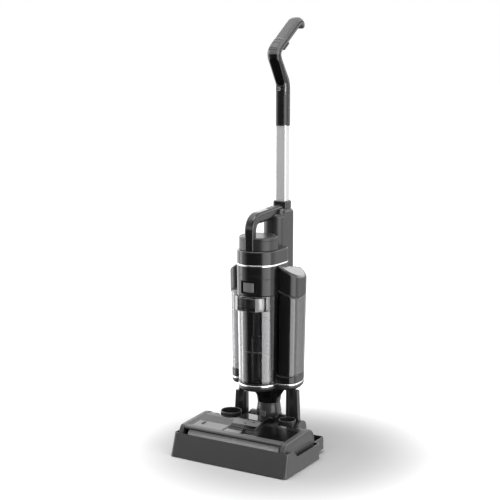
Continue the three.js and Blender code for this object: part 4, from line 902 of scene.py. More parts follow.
# fleece sleeve: a tube whose radius ripples by the height of the pile
def makeRoller():
    low, high = edges("brush_roller")
    radius = (high[2] - low[2]) / 2 - 0.3
    centre = (low[1:] + high[1:]) / 2
    height, inset = wall(low[0], high[0], roller["rim"], roller["rim"], 4)
    between = np.linspace(height[4], height[5], 120)[1:-1]
    height = np.concatenate([height[:5], between, height[5:]])
    inset = np.concatenate([inset[:5], 0 * between, inset[5:]])
    angle = np.linspace(0, 2 * np.pi, 128, endpoint=False)
    shade = np.random.default_rng(roller["seed"]).normal(0, 1, (len(height), len(angle)))
    shade = (shade + np.roll(shade, 1, 0) + np.roll(shade, 1, 1)) / 3
    sleeve = radius - inset[:, None] + roller["pile"] * np.clip(shade, -0.8, 0.8)
    bore = np.full((1, len(angle)), roller["innerRadius"])
    sleeve = np.concatenate([bore, sleeve, bore])
    height = np.concatenate([[low[0]], height, [high[0]]])
    flat = np.stack([centre[0] + sleeve * np.cos(angle), centre[1] + sleeve * np.sin(angle)], -1)
    surface = skin(placed(flat, height, "x"), loop=True)
    piece("fleeceRoller", "roller", fleece, surface, ["brush_roller"], uneven=True)


wheels = {"tread": 3.0, "hub": 9.0, "dish": 1.5, "bore": 3.3}


# rubber wheel with a dished ring between its hub and its tread
def makeWheel(side):
    name = "wheel_" + side.lower()
    low, high = edges(name)
    radius, inner, dish = (high[2] - low[2]) / 2, wheels["hub"], wheels["dish"]
    face = [
        (wheels["bore"], 0), (inner, 0), (inner + 1, dish), (radius - 5, dish), (radius - 4, 0), (radius, 0),
    ]
    radii = [0.3, 0.5, 0.5, 0.5, 0.5, wheels["tread"]]
    corners = [(reach, low[0] + depth) for reach, depth in face]
    corners += [(reach, high[0] - depth) for reach, depth in face[::-1]]
    surface = ringLathe(corners, radii + radii[::-1], (low[1:] + high[1:]) / 2, "x")
    piece("wheel" + side, side.lower() + "_wheel", blackRubber, surface, [name])


makeSideCover("Left")
makeSideCover("Right")
makeRollerCover()
makeCoverLip()
makeCoverPlates()
makeChannelPlate()
makeSuctionChannel()
makeChassis()
makeRoller()
makeWheel("Left")
makeWheel("Right")
eased("head_deck", "floor_head", glossBlack, 1.0)
finished(satinBlack, "roller_core")
finished(steel, "roller_bearing", "brush_motor", "wheel_axle", "hinge_pin")
finished(brass, "motor_pulley")
finished(blackRubber, "drive_belt", "scraper_blade")
print("floor head made")


# The neck.

neck = {"stemRadius": 29.0, "barrel": 17.0}


# stem on a barrel round the hinge pin, with a catch in front
def makeYoke():
    wide, _, top = edges("neck_yoke")[1]
    radius, barrel = neck["stemRadius"], neck["barrel"]
    profile = [(0.5, 80), (wide - 2, 80), (wide - 0.5, 92), (radius, top), (0.5, top)]
    stem = lathe(bent(profile, [1.5, 30, 2.5]), (0, neckY), sides=80)
    profile = [(0.5, -wide), (barrel, -wide), (barrel, wide), (0.5, wide)]
    across = lathe(bent(profile, [2.5, 2.5]), (neckY, hingeZ), "x", sides=72)
    profile = [(radius - 4, top - 6), (radius + 0.9, top - 6), (radius + 0.7, top), (radius - 4, top)]
    collar = ringLathe(profile, [0.3, 1.2, 1.2, 0.3], (0, neckY), sides=80)
    piece("neckYoke", "neck", yokeGrey, joined(stem, across, collar), ["neck_yoke"], angle=40)
    front = neckY - wide
    catch = prism(lambda inset: rectangle(-9, 9, 84, 100, 4, inset), front - 0.9, front + 6, 1.2, 0.5, "y")
    piece("neckCatch", "neck", plateGrey, catch)


hub = {"foot": 30.0, "waist": 33.0, "shoulder": 46.0}


# funnel between the neck and the body
def makeHub():
    low, high = edges("swivel_hub")
    wide, bottom, top = high[0], low[2], high[2]
    profile = bent([
        (22, bottom), (hub["foot"], bottom), (hub["waist"], (bottom + top) / 2 - 7),
        (hub["shoulder"], top - 11), (wide, top - 2.5), (wide, top), (22, top),
    ], [1.2, 18, 16, 3, 0.8], steps=8)
    surface = lathe(profile, (0, neckY), sides=96)
    piece("swivelHub", "upright_body", glossBlack, surface, ["swivel_hub"], angle=45)


makeYoke()
makeHub()
finished(blackRubber, "neck_hose")
print("neck made")


# The body.

body = {
    "columnY": 42.0, "columnRadius": 50.0, "columnTopRadius": 54.8, "rearY": 89.0, "rearRadius": 95.6,
    "rearGrowth": 0.055, "rearFront": 47.0, "rearCorner": 30.0, "coreHalf": 50.7, "coreBack": 132.7,
    "bayHalf": 48.3, "bayBack": 96.0, "capBack": 122.0, "capCorner": 34.0,
}
lowerBand = edges("lower_trim")[0][2]
upperBand = edges("upper_trim")[0][2]


def heightShare(z):
    return (z - lowerBand) / (upperBand - lowerBand)


def columnAt(z):
    return body["columnRadius"] + (body["columnTopRadius"] - body["columnRadius"]) * heightShare(z)


# widens the rear outline about its centre line with height
def rearGrown(x, y, z):
    scale = 1 + body["rearGrowth"] * heightShare(z)
    return x * scale, body["rearY"] + (y - body["rearY"]) * scale


# arcs of the two front corners of the wings and of the round back between them
def rearArcs(half, corner, front):
    quarter = np.pi / 2 + 0 * half
    return [
        arc(half - corner, front + corner, corner, -quarter, 0 * quarter, 10),
        arc(0, body["rearY"], half, 0.02 * quarter, 1.98 * quarter, 56),
        arc(-half + corner, front + corner, corner, 2 * quarter, 3 * quarter, 10),
    ]


# wings and round back at the height of the lower band
def rearOutline(inset):
    b = body
    inset = asColumn(inset)
    arcs = rearArcs(b["rearRadius"] - inset, b["rearCorner"] - inset, b["rearFront"] + inset)
    return np.concatenate(arcs, axis=1)


# whole body: round column in front, wings and round back, at heights z and insets
def bodyRings(z, inset):
    b = body
    z, inset = asColumn(z), asColumn(inset)
    column = columnAt(z) - inset
    scale = 1 + b["rearGrowth"] * heightShare(z)
    front = b["rearY"] - (b["rearY"] - b["rearFront"] - inset) * scale
    lean = np.arcsin((front - b["columnY"]) / column)
    arcs = rearArcs((b["rearRadius"] - inset) * scale, (b["rearCorner"] - inset) * scale, front)
    face = arc(0, b["columnY"], column, np.pi - lean, 2 * np.pi + lean, 56)
    return placed(np.concatenate([face, *arcs], axis=1), z)


# round front from one angle to its mirror image, straight sides and two rounded corners at the back
def roundFront(radius, edge, frontSteps, half, back, corner, steps):
    quarter = np.pi / 2 + 0 * half
    return np.concatenate([
        arc(0, body["columnY"], radius, 2 * quarter + edge, 4 * quarter - edge, frontSteps),
        arc(half - corner, back - corner, corner, 0 * quarter, quarter, steps),
        arc(-half + corner, back - corner, corner, quarter, 2 * quarter, steps),
    ], axis=1)


# outline of the cap over the column, which runs back to the spine
def capOutline(inset):
    b = body
    inset = asColumn(inset)
    half = b["columnTopRadius"] - inset
    return roundFront(half, 0, 64, half, b["capBack"] - inset, b["capCorner"] - inset, 8)


base = {"round": 9.0, "step": 3.3}


def makeBaseCap():
    low, high = edges("base_cap")
    turn = np.linspace(0, np.pi / 2, 8)
    rim, step = base["round"], base["step"]
    z = np.concatenate([low[2] + rim * (1 - np.cos(turn)), [lowerBand - gap, lowerBand - gap, high[2]]])
    inset = np.concatenate([rim * (1 - np.sin(turn)), [0, step, step]])
    piece("baseCap", "upright_body", satinBlack, skin(bodyRings(z, inset)), ["base_cap"])


trim = {"standOut": 0.7, "inside": 3.0, "height": 4.4, "rim": 0.9}


# the two bands: the section is a rounded bar that follows the outline
def makeTrims():
    t = trim
    section = rectangle(-t["standOut"], t["inside"], 0, t["height"], t["rim"], steps=4)[0]
    lower = bodyRings(lowerBand + section[:, 1], section[:, 0])
    piece("lowerTrim", "upright_body", silverTrim, skin(lower, loop=True), ["lower_trim"], angle=50)
    upper = placed(capOutline(section[:, 0]), upperBand + section[:, 1])
    piece("upperTrim", "upright_body", silverTrim, skin(upper, loop=True), ["upper_trim"], angle=50)


bandTop = edges("clean_tank")[0][2] - gap
roof = {"middle": edges("main_frame")[1][2] + gap, "break": 56.0, "slope": 0.42}
lidTop = edges("tank_lid")[1][2]


# sloping top of the clean tank, lifted by lift
def roofAt(lift):
    return lambda x, y: roof["middle"] + lift - roof["slope"] * np.maximum(abs(x) - roof["break"], 0)


# the clean tank's outline: wings and back, open to the front around the frame's core
def wrapOutline(inset, half=None, back=None):
    b = body
    inset = asColumn(inset)
    outer = rearOutline(inset[:, 0])
    half = (half or b["coreHalf"] + gap) + inset
    back = (back or b["coreBack"] + gap) + inset
    front = b["rearFront"] + inset
    left = [(-half - 3, front), (-half, front + 3), (-half, back)]
    right = [(half, back), (half, front + 3), (half + 3, front)]
    inside = [pointAt(x, y, inset) for x, y in left + right]
    return np.concatenate([outer, *inside], axis=1)


def makeMainFrame():
    b = body
    low, high = edges("main_frame")
    tankBottom = edges("dirty_tank")[0][2] - gap
    start = tankBottom - 1
    height, inset = wall(low[2], tankBottom, 0.5, 0.5, 3)
    floor = skin(bodyRings(height, inset))
    ring = block(
        lambda inset: divided(wrapOutline(inset, b["bayHalf"], b["bayBack"]), 8.0), start, bandTop,
        (0.3, 1.2), rearGrown, centre=(0, 130),
    )
    core = prism(
        lambda inset: rectangle(-b["coreHalf"], b["coreHalf"], b["bayBack"], b["coreBack"], 2, inset),
        start, high[2], 0.5, 1.0,
    )
    heights = asColumn(np.linspace(start, lidTop, 40))
    radius = columnAt(heights)
    edge = -np.arccos(b["bayHalf"] / radius)
    front = arc(0, b["columnY"], radius, edge, 0.09 + 0 * edge, 16)
    corners = [(b["coreHalf"], 47.5), (b["coreHalf"], 97), (b["bayHalf"], 97)]
    wallBack = [pointAt(x, y, heights) for x, y in corners]
    cheek = skin(placed(np.concatenate([front, *wallBack], axis=1), heights))
    surface = joined(floor, ring, core, cheek, mirrored(cheek))
    piece("mainFrame", "upright_body", glossBlack, surface, ["main_frame"])


cleanTank = {"wall": 2.5, "lid": 3.0, "middle": (0, 150)}


# the wall's outside and the inside face of the tank, and the lid on it
def makeCleanTank():
    c = cleanTank
    thick, lidUnder = c["wall"], -c["lid"] - gap
    low = edges("clean_tank")[0]

    def shell(inset, start, end, rims):
        outline = lambda further: divided(wrapOutline(further + inset), 6.0)
        return block(outline, start, end, rims, rearGrown, centre=c["middle"])

    outer = shell(0, low[2], roofAt(lidUnder), (1.5, 1.0))
    points, faces = shell(thick, low[2] + thick, roofAt(lidUnder - thick), (2.0, 1.0))
    inside = points, [group[:, ::-1] for group in faces]
    piece("cleanTank", "clean_tank_unit", smokedDark, joined(outer, inside), ["clean_tank"])
    lid = shell(0, roofAt(-c["lid"]), roofAt(-gap), (0.4, 0.8))
    piece("cleanTankLid", "clean_tank_unit", satinBlack, lid, ["clean_tank_lid"])


darkSheet = {"inset": 3.3, "inner": 46.0, "back": 126.0}


# dark sheet inside the right wing of the tank, which darkens that wing through its clear wall: the part of
# the wall's outline beyond its inner side
def makeTankDarkSheet():
    n = darkSheet
    bottom = edges("clean_tank")[0][2]
    plain = divided(wrapOutline(n["inset"]), 6.0)[0]
    inside = (plain[:, 0] > n["inner"]) & (plain[:, 1] < n["back"])
    first = np.flatnonzero(inside & ~np.roll(inside, 1))[0]
    order = (first + np.arange(inside.sum())) % len(inside)
    outline = lambda inset: divided(wrapOutline(inset + n["inset"]), 6.0)[:, order]
    surface = block(outline, bottom + 4, roofAt(-7), (1.0, 1.0), rearGrown, centre=(72, 95))
    piece("tankDarkSheet", "clean_tank_unit", satinBlack, surface)


filler = {"radius": 18.0, "neck": 15.0, "flange": 2.1, "grip": 9.0}


# plug with a flange and a bar to grip it by
def makeFillerCap():
    low, high = edges("filler_cap")
    radius, inner, half = filler["radius"], filler["neck"], filler["grip"]
    middle, face = (low[2] + high[2]) / 2, high[1] - 0.6
    under = face - filler["flange"]
    profile = [(0.4, low[1]), (inner, low[1]), (inner, under), (radius, under), (radius, face), (0.4, face)]
    plug = lathe(bent(profile, [1.0, 0.4, 0.8, 0.9]), (0, middle), "y", sides=72)
    bar = lambda inset: rectangle(-half, half, middle - 2.5, middle + 2.5, 2.4, inset)
    surface = joined(plug, prism(bar, high[1] - 1.5, high[1], 0.3, 0.9, "y"))
    piece("fillerCap", "filler_plug", blackRubber, surface, ["filler_cap"])


shoulder = {"slope": 0.52, "fall": 0.2, "rim": 7.0}
recess = {"half": 22.0, "floorY": -4.0, "soft": 0.7, "low": 423.6, "high": 457.0}
seam = {"width": 0.55, "depth": 0.6, "front": 471.0, "drop": 10.0, "from": 26.0, "to": 40.0, "gap": 8}


def shoulderAt(x, y):
    side = shoulder["slope"] * np.maximum(abs(x) - body["columnTopRadius"], 0)
    return upperBand + 1 - side - shoulder["fall"] * np.maximum(y - body["rearFront"], 0)


# front of the housing: the column's surface, pressed in at the button's recess and along a fine seam
# that runs round the front, apart from a gap in the middle, and falls at both sides
def housingFront(low, high):
    r = recess
    soft, bottom, top, middleY = r["soft"], r["low"], r["high"], body["columnY"]
    radius = (columnAt(bottom) + columnAt(top)) / 2
    inRecess = np.arcsin(np.array([r["half"], r["half"] - soft]) / radius)
    angle = np.unique(np.round(np.concatenate([
        np.linspace(-np.pi / 2, np.pi / 2, 121), inRecess, -inRecess, inRecess + 0.004, -inRecess - 0.004,
    ]), 6))
    z = np.unique(np.round(np.concatenate([
        np.linspace(low, bottom - 0.3, 5), [bottom, bottom + soft], np.linspace(bottom + 2, top - 2, 30),
        [top - soft, top, top + 0.3], np.arange(top + 0.9, 473, 0.35),
        np.linspace(473.5, high - 0.8, 8), [high - 0.4, high],
    ]), 4))
    z = z[(z >= low) & (z <= high)]
    sink = np.interp(z, [low, low + 0.8, high - 0.8, high], [0.5, 0, 0, 0.5])
    around, up = np.meshgrid(angle, z)
    outer = columnAt(up) - sink[:, None]
    x, y = outer * np.sin(around), middleY - outer * np.cos(around)
    clear = lambda distance: np.clip(distance / soft, 0, 1)
    press = clear(r["half"] - abs(x)) * clear(up - bottom) * clear(top - up)
    y = y + press * (r["floorY"] - y)
    fall = np.clip((abs(x) - seam["from"]) / (seam["to"] - seam["from"]), 0, 1)
    centre = seam["front"] - seam["drop"] * fall ** 1.5
    mark = np.clip(1 - abs(up - centre) / seam["width"], 0, 1) * seam["depth"] * (abs(x) > seam["gap"])
    face = np.stack([x - mark * np.sin(around), y + mark * np.cos(around), up], -1)
    side = 0.4 - body["columnTopRadius"]
    behind = [(-side, 60), (-side, 100), (side, 100), (side, 60)]
    back = [np.stack([across + 0 * z, depth + 0 * z, z], -1)[:, None] for across, depth in behind]
    return skin(np.concatenate([face, *back], axis=1))


def makeHousing():
    wings = block(
        lambda inset: divided(rearOutline(inset), 4.0), roofAt(0.0), shoulderAt, (1.0, shoulder["rim"]),
        rearGrown, polar=10, centre=(0, 95), steps=6, middle=3,
    )
    front = housingFront(lidTop + gap, edges("upper_housing")[1][2])
    piece("upperHousing", "upright_body", satinGloss, joined(wings, front), ["upper_housing"], angle=28)


latch = {"rim": 1.4, "soften": 1.6, "sink": 1.2, "back": -6.6}


# button whose face follows the column
def makeLatch():
    low, high = edges("latch_button")
    half = high[0]
    z, inset = wall(low[2], high[2], latch["rim"], latch["rim"], 4)
    x = np.linspace(-1, 1, 33) * (half - asColumn(inset) * 0.6)
    radius = asColumn(columnAt(z)) - latch["sink"] - asColumn(inset)
    edge = np.clip(abs(x) - (half - latch["soften"]), 0, latch["soften"])
    y = body["columnY"] - np.sqrt(radius ** 2 - x ** 2) + edge ** 2 * 0.5
    face = np.stack([x, y, z[:, None] + 0 * x], -1)
    back = face[:, ::-1].copy()
    back[..., 1] = latch["back"]
    surface = skin(np.concatenate([face, back], axis=1))
    piece("latchButton", "tank_latch", plateGrey, surface, ["latch_button"])


cap = {"rim": 3.5}


def makeMotorCap():
    z, inset = wall(upperBand + 4.7, edges("motor_cap")[1][2], 0.6, cap["rim"], 6)
    piece("motorCap", "upright_body", satinGloss, skin(placed(capOutline(inset), z)), ["motor_cap"])


drum = {"rim": 3.5, "seam": 9.0, "ring": 8.0}


# drum over the motor, with a fine seam below its lid and a fine groove round its top
def makeDrum():
    low, high = edges("motor_drum")
    top, side = high[2], high[0] - 0.3
    seamZ, ring = top - drum["seam"], high[0] - drum["ring"]
    profile = bent([
        (2, low[2]), (side, low[2]), (side, seamZ - 0.5), (side - 0.7, seamZ), (side, seamZ + 0.5),
        (side, top), (ring + 0.5, top), (ring - 0.3, top - 0.9), (ring - 1.1, top), (2, top),
    ], [0.6, 0.2, 0.2, 0.2, drum["rim"], 0.3, 0.3, 0.3], steps=6)
    surface = lathe(profile, (0, body["columnY"]), sides=112)
    piece("motorDrum", "upright_body", satinBlack, surface, ["motor_drum"])


spineShape = {
    "corner": 24.0, "rim": 7.0, "neckY": 128.0, "front": 614.0, "shoulderY": 166.0,
    "seamY": 131, "seamHalf": 1.3, "seamDepth": 0.8, "curve": 0.006,
    "fall": ((176, 2.5), (184, 9), (189, 17), (192, 27)),
}


# crown of the spine: low under the carrying handle, high at the tube, falling behind it
def crownAt(x, y):
    s = spineShape
    top = edges("spine")[1][2]
    line = [s["neckY"] - 3, s["neckY"] + 3, s["shoulderY"]] + [place for place, _ in s["fall"]]
    level = [s["front"], top, top] + [top - depth for _, depth in s["fall"]]
    return np.interp(y, line, level) - s["curve"] * x ** 2


# upright spine behind the motor: a rounded box
def spineOutline(inset):
    low, high = edges("spine")
    return divided(rectangle(low[0], high[0], low[1], high[1], spineShape["corner"], inset, steps=10), 3.0)


# presses a seam into both sides of the spine, the same at every z
def spineSeam(x, y, z):
    s = spineShape
    onSide = abs(x) > edges("spine")[1][0] * 0.8
    mark = np.clip(1 - abs(y - s["seamY"]) / s["seamHalf"], 0, 1) * onSide * s["seamDepth"]
    return x - np.sign(x) * mark, y


def makeSpine():
    surface = block(
        spineOutline, edges("spine")[0][2], crownAt, (1.0, spineShape["rim"]), spineSeam, polar=8,
        centre=(0, 160), steps=6, middle=4,
    )
    piece("spine", "upright_body", satinBlack, surface, ["spine"], angle=40)


makeBaseCap()
makeTrims()
makeMainFrame()
makeCleanTank()
makeTankDarkSheet()
makeFillerCap()
makeHousing()
makeLatch()
makeMotorCap()
makeDrum()
makeSpine()
finished(whitePlastic, "suction_motor", "impeller")
finished(batteryWrap, "battery_pack")
finished(circuitBoard, "control_board")
finished(satinBlack, "water_pump")
print("body made")


# The dirty tank.

dirtyTank = {"wall": 2.5, "corner": 4.0, "rim": 1.5}


# outline of the tank at heights z: the column's front arc between flat sides, and a square back
def tankRings(z, inset):
    z, inset = asColumn(z), asColumn(inset)
    radius = columnAt(z) - gap - inset
    half, back = body["bayHalf"] - gap - inset, body["bayBack"] - gap - inset
    corner = np.maximum(dirtyTank["corner"] - inset, 0.2)
    edge = np.arccos(np.minimum(half / radius, 1))
    return placed(roundFront(radius, edge, 72, half, back, corner, 6), z)


# open box: the wall's outside, its rim and its inside
def makeDirtyTank():
    d = dirtyTank
    thick = d["wall"]
    low, high = edges("dirty_tank")
    z, inset = wall(low[2], high[2], d["rim"], 0.6, 4)
    step = np.array([0.25, 0.5, 0.75]) * (high[2] - low[2]) + low[2]
    z = np.concatenate([z[:5], step, z[5:]])
    inset = np.concatenate([inset[:5], 0 * step, inset[5:]])
    innerZ = np.concatenate([[high[2]], step[::-1], [low[2] + 6, low[2] + 3.5, low[2] + thick]])
    innerInset = np.concatenate([np.full(5, thick), [thick + 0.6, thick + 3]])
    surface = skin(tankRings(np.concatenate([z, innerZ]), np.concatenate([inset, innerInset])))
    piece("dirtyTank", "dirty_tank_unit", smokedClear, surface, ["dirty_tank"])


levelMark = {"z": 272.5, "height": 1.5, "depth": 0.8, "from": -12.0, "to": 40.0}


# level mark: a slim bead on the inner face of the tank's front wall
def makeLevelMark():
    m = levelMark
    radius = columnAt(m["z"]) - 0.35 - dirtyTank["wall"]
    angle = np.radians(270 + np.linspace(m["from"], m["to"], 48))
    corners = [(0, 0), (m["depth"], 0), (m["depth"], m["height"]), (0, m["height"])]
    outline = rounded(corners, [0.1, 0.35, 0.35, 0.1])[0]
    reach = radius - outline[:, 0]
    x = np.cos(angle)[:, None] * reach
    y = body["columnY"] + np.sin(angle)[:, None] * reach
    surface = skin(np.stack([x, y, m["z"] + outline[:, 1] + 0 * x], -1))
    piece("levelMark", "dirty_tank_unit", paleInk, surface)


tankLid = {"lugHalf": 42.0, "lugFace": 25.0, "slant": 17.0, "standOut": 9.0, "rim": 2.5, "pin": 346}


# lid of the tank; its front stands out as the lug that is gripped
def makeTankLid():
    t = tankLid
    top, bottom = lidTop, edges("dirty_tank")[1][2] + gap
    z, inset = wall(bottom, top, 0.5, 1.2, 4)
    upper = skin(tankRings(z, inset))
    lugZ, lugInset = wall(bottom, top - 2.0, 1.0, t["rim"], 5)
    middleY = body["columnY"]
    face = middleY - columnAt(top) - t["standOut"]
    half, flat, corner, back = t["lugHalf"], t["lugFace"], face + t["slant"], middleY - 20
    corners = [(-flat, face), (flat, face), (half, corner), (half, back), (-half, back), (-half, corner)]
    lug = skin(placed(rounded(corners, [5, 5, 5, 0.5, 0.5, 5], lugInset, steps=6), lugZ))
    start, end = t["pin"], top - 3
    profile = [(0.3, start), (2.3, start + 0.5), (2.5, start + 1), (2.5, end), (0.3, end)]
    pin = lathe(profile, (0, 84), sides=24)
    piece("tankLid", "dirty_tank_unit", smokedGrey, joined(upper, lug, pin), ["tank_lid"])


riser = {"collar": 14.5, "pipe": 11.0, "step": 305.0, "ring": 1.4, "ringHeight": 2.2}


# riser inside the tank: a wide foot with two rings and a pipe above it
def makeRiser():
    low, high = edges("tank_riser")
    y = (low[1] + high[1]) / 2
    pipe, collar, step = riser["pipe"], riser["collar"], riser["step"]
    profile = [
        (pipe - 2, low[2]), (collar, low[2]), (collar, step), (pipe, step + 1.5), (pipe, high[2]),
        (pipe - 2, high[2]),
    ]
    parts = [ringLathe(profile, [0.4, 0.8, 1.2, 0.5, 0.6, 0.6], (0, y), sides=56)]
    inner, outer = collar - 1, collar + riser["ring"]
    for z in (step - 44, step - 9):
        end = z + riser["ringHeight"]
        ring = [(inner, z), (outer, z), (outer, end), (inner, end)]
        parts.append(ringLathe(ring, [0.3, 0.8, 0.8, 0.3], (0, y), sides=56))
    piece("tankRiser", "dirty_tank_unit", satinBlack, joined(*parts), ["tank_riser"])


makeDirtyTank()
makeLevelMark()
makeTankLid()
makeRiser()
finished(whitePlastic, "tank_filter", "tank_float")
print("tank made")


# The carrying handle and the tube.

# corners and radii of a bar's section whose two sides carry a fine groove at each line
def groovedSection(half, bottom, top, lines, depth, slim, ends, fine):
    groove = [(0, -0.7), (depth, -slim), (depth, slim), (0, 0.7)]
    right = [(half - sink, line + rise) for line in lines for sink, rise in groove]
    left = [(-x, y) for x, y in right[::-1]]
    corners = [(-half, bottom), (half, bottom), *right, (half, top), (-half, top), *left]
    grooves = [fine[0], fine[1], fine[1], fine[0]] * len(lines)
    return corners, [ends[0], ends[0], *grooves, ends[1], ends[1], *grooves]


carry = {
    "half": 13.0, "thick": 11.0, "legY": 2.0, "bend": 47, "rise": 9.0, "endY": 146.0, "cut": 36.0,
    "growth": 7.0, "corner": 8.5, "line": 3.0, "lineDepth": 0.7, "count": 180,
}
carryBend = edges("motor_drum")[1][2] + carry["bend"]
carryPoints, carryLength = curvedPath([
    (carry["legY"], edges("carry_handle")[0][2]), (carry["legY"], carryBend),
    (carry["endY"], carryBend + carry["rise"]),
], [carry["cut"]], carry["count"])


# bar from the drum up and back to the tube, growing thicker inwards beyond the bend
def makeCarryHandle():
    c = carry
    half, thick, corner = c["half"], c["thick"], c["corner"]
    outline, radii = groovedSection(
        half, -thick, thick, [c["line"]], c["lineDepth"], 0.2, (corner, corner - 2), (0.3, 0.15),
    )
    along = np.linspace(0, carryLength, c["count"])
    sections = rounded(outline, radii, np.maximum(0, 0.8 - along) ** 2 * 0.8, steps=7)
    growth = c["growth"] * np.clip((along / carryLength - 0.12) / 0.4, 0, 1)[:, None]
    sections[..., 1] *= np.where(sections[..., 1] < 0, 1 + growth / thick, 1)
    surface = skin(carried(carryPoints, sections))
    piece("carryHandle", "upright_body", satinGloss, surface, ["carry_handle"], angle=35)


tubeButton = {"share": 0.8, "half": 5.8, "halfLength": 15.8, "corner": 4.5, "sunk": 2.0, "proud": 1.0}


# long button on top of the carrying handle
def makeTubeButton():
    b = tubeButton
    share, wide, length = b["share"], b["half"], b["halfLength"]
    place = pathAt(carryPoints, share)
    step = pathAt(carryPoints, share + 0.001) - pathAt(carryPoints, share - 0.001)
    step /= np.linalg.norm(step)
    normal = np.array([-step[1], step[0]])
    rise, inset = wall(carry["thick"] - b["sunk"], carry["thick"] + b["proud"], 0.2, 1.0, 4)
    flat = rectangle(-wide, wide, -length, length, b["corner"], inset, steps=7)
    y, z = (place[axis] + flat[..., 1] * step[axis] + rise[:, None] * normal[axis] for axis in (0, 1))
    button = skin(np.stack([flat[..., 0], y, z], -1))
    piece("tubeButton", "tube_button", padGrey, button, ["tube_release_button"])


tube = {"corner": 6.0, "wall": 1.5, "levels": 12, "collarWall": 2.0, "collarRim": 2.6}


# closed sleeve with rounded corners: heights and insets run up its outside and down its inside
def sleeve(name, corner, height, inset):
    low, high = edges(name)
    flat = rectangle(low[0], high[0], low[1], high[1], corner, inset, steps=8)
    return skin(placed(flat, height), loop=True)


# tube and the collar that holds it
def makeTube():
    t = tube
    low, high = edges("handle_tube")
    height = np.linspace(low[2], high[2], t["levels"])
    inset = np.repeat([0, t["wall"]], t["levels"])
    surface = sleeve("handle_tube", t["corner"], np.concatenate([height, height[::-1]]), inset)
    piece("handleTube", "handle", anodisedTube, surface, ["handle_tube"])
    low, high = edges("tube_socket")
    height, inset = wall(low[2], high[2], 0.6, t["collarRim"], 6)
    height = np.append(height, [high[2] - 0.6, low[2] + 1])
    inset = np.minimum(np.append(inset, [t["collarWall"]] * 2), t["collarWall"])
    collar = sleeve("tube_socket", t["corner"] + 2, height, inset)
    piece("tubeCollar", "upright_body", satinGloss, collar, ["tube_socket"])


# The handle.

# half thicknesses at its foot and in the grip; the section is drawn for a half thickness of sectionHalf
grip = {
    "half": 17.5, "footThick": 15.0, "gripThick": 11.0, "sectionHalf": 14, "bendReach": 54.0, "reach": 74.3,
    "nose": 22.0, "cuts": [12.0, 24.0, 26.0], "corner": 6.5, "front": 12.0, "crown": 2.4,
    "lines": (-6.5, 5.0), "lineDepth": 0.35, "count": 420, "noseFrom": 0.94,
}
handleLow = edges("handle_shell")[0][2]
tubeMiddle = (edges("handle_tube")[0][1] + edges("handle_tube")[1][1]) / 2
handleY = tubeMiddle - 1
neckBend = handleLow + 107
gripBend = neckBend + 79
gripTop = gripBend + 98
gripPoints, gripLength = curvedPath([
    (handleY, handleLow), (handleY, neckBend), (tubeMiddle - grip["bendReach"], gripBend),
    (tubeMiddle + grip["reach"], gripTop - grip["nose"] / 2),
    (tubeMiddle + grip["reach"] + 16, gripTop - grip["nose"] * 1.6),
], grip["cuts"], grip["count"])


# how far each share of the length is into the nose
def noseShare(share):
    return np.clip((share - grip["noseFrom"]) / (1 - grip["noseFrom"]), 0, 1)


# half thickness along the handle: it slims into the grip and rounds off at the nose
def gripHalf(share):
    slim = np.clip((share - 0.25) / 0.2, 0, 1)
    half = grip["footThick"] + (grip["gripThick"] - grip["footThick"]) * slim
    return half * np.sqrt(np.maximum(0.05, 1 - 0.8 * noseShare(share) ** 2))


# closed section at each share of the length: flat sides with two fine lines, round front and back
def gripSections(share, inset):
    g = grip
    half, thick = g["half"], g["sectionHalf"]
    outline, radii = groovedSection(
        half, -thick, thick, g["lines"], g["lineDepth"], 0.15, (g["corner"], g["front"]), (0.25, 0.12),
    )
    flat = divided(rounded(outline, radii, inset, steps=7), 1.6)
    flat[..., 1] -= g["crown"] * (flat[..., 0] / half) ** 2 * (flat[..., 1] > 0)
    flat[..., 1] *= (gripHalf(share) / thick)[:, None]
    flat[..., 0] *= (1 - 0.28 * noseShare(share) ** 2)[:, None]
    return flat


# shares of the length between two ends whose rims are quarter circles, and the inset at each
def shareOfEnds(start, finish, rim, count=60):
    turn = np.linspace(0, np.pi / 2, 7)
    first = rim * (1 - np.cos(turn)) / gripLength
    middle = np.linspace(start + first[-1], finish - first[-1], count)[1:-1]
    share = np.concatenate([start + first, middle, finish - first[::-1]])
    edge = rim * (1 - np.sin(turn))
    return share, np.concatenate([edge, np.zeros(count - 2), edge[::-1]])


power = {
    "radius": 6.0, "lightTurn": 52.0, "window": (8.8, 7.9), "well": 6.7, "shellDepth": 6.5, "stripDepth": 2.6,
    "ring": (4.5, 5.2), "mark": (2.2, 2.7), "gap": 0.75, "bezel": (6.25, 7.3), "raised": 0.6,
}
powerLow, powerHigh = edges("power_button")
powerCentre = ((powerLow + powerHigh) / 2)[[0, 2]]
powerWell = (powerCentre, power["window"], power["well"])


def makeHandleShell():
    share, inset = shareOfEnds(0.0, 1.0, 2.4, 260)
    flat = gripSections(share, inset)
    surface = bored(skin(carried(pathAt(gripPoints, share), flat)), *powerWell, power["shellDepth"])
    piece("handleShell", "handle", handleGrey, surface, ["handle_shell"], angle=35)


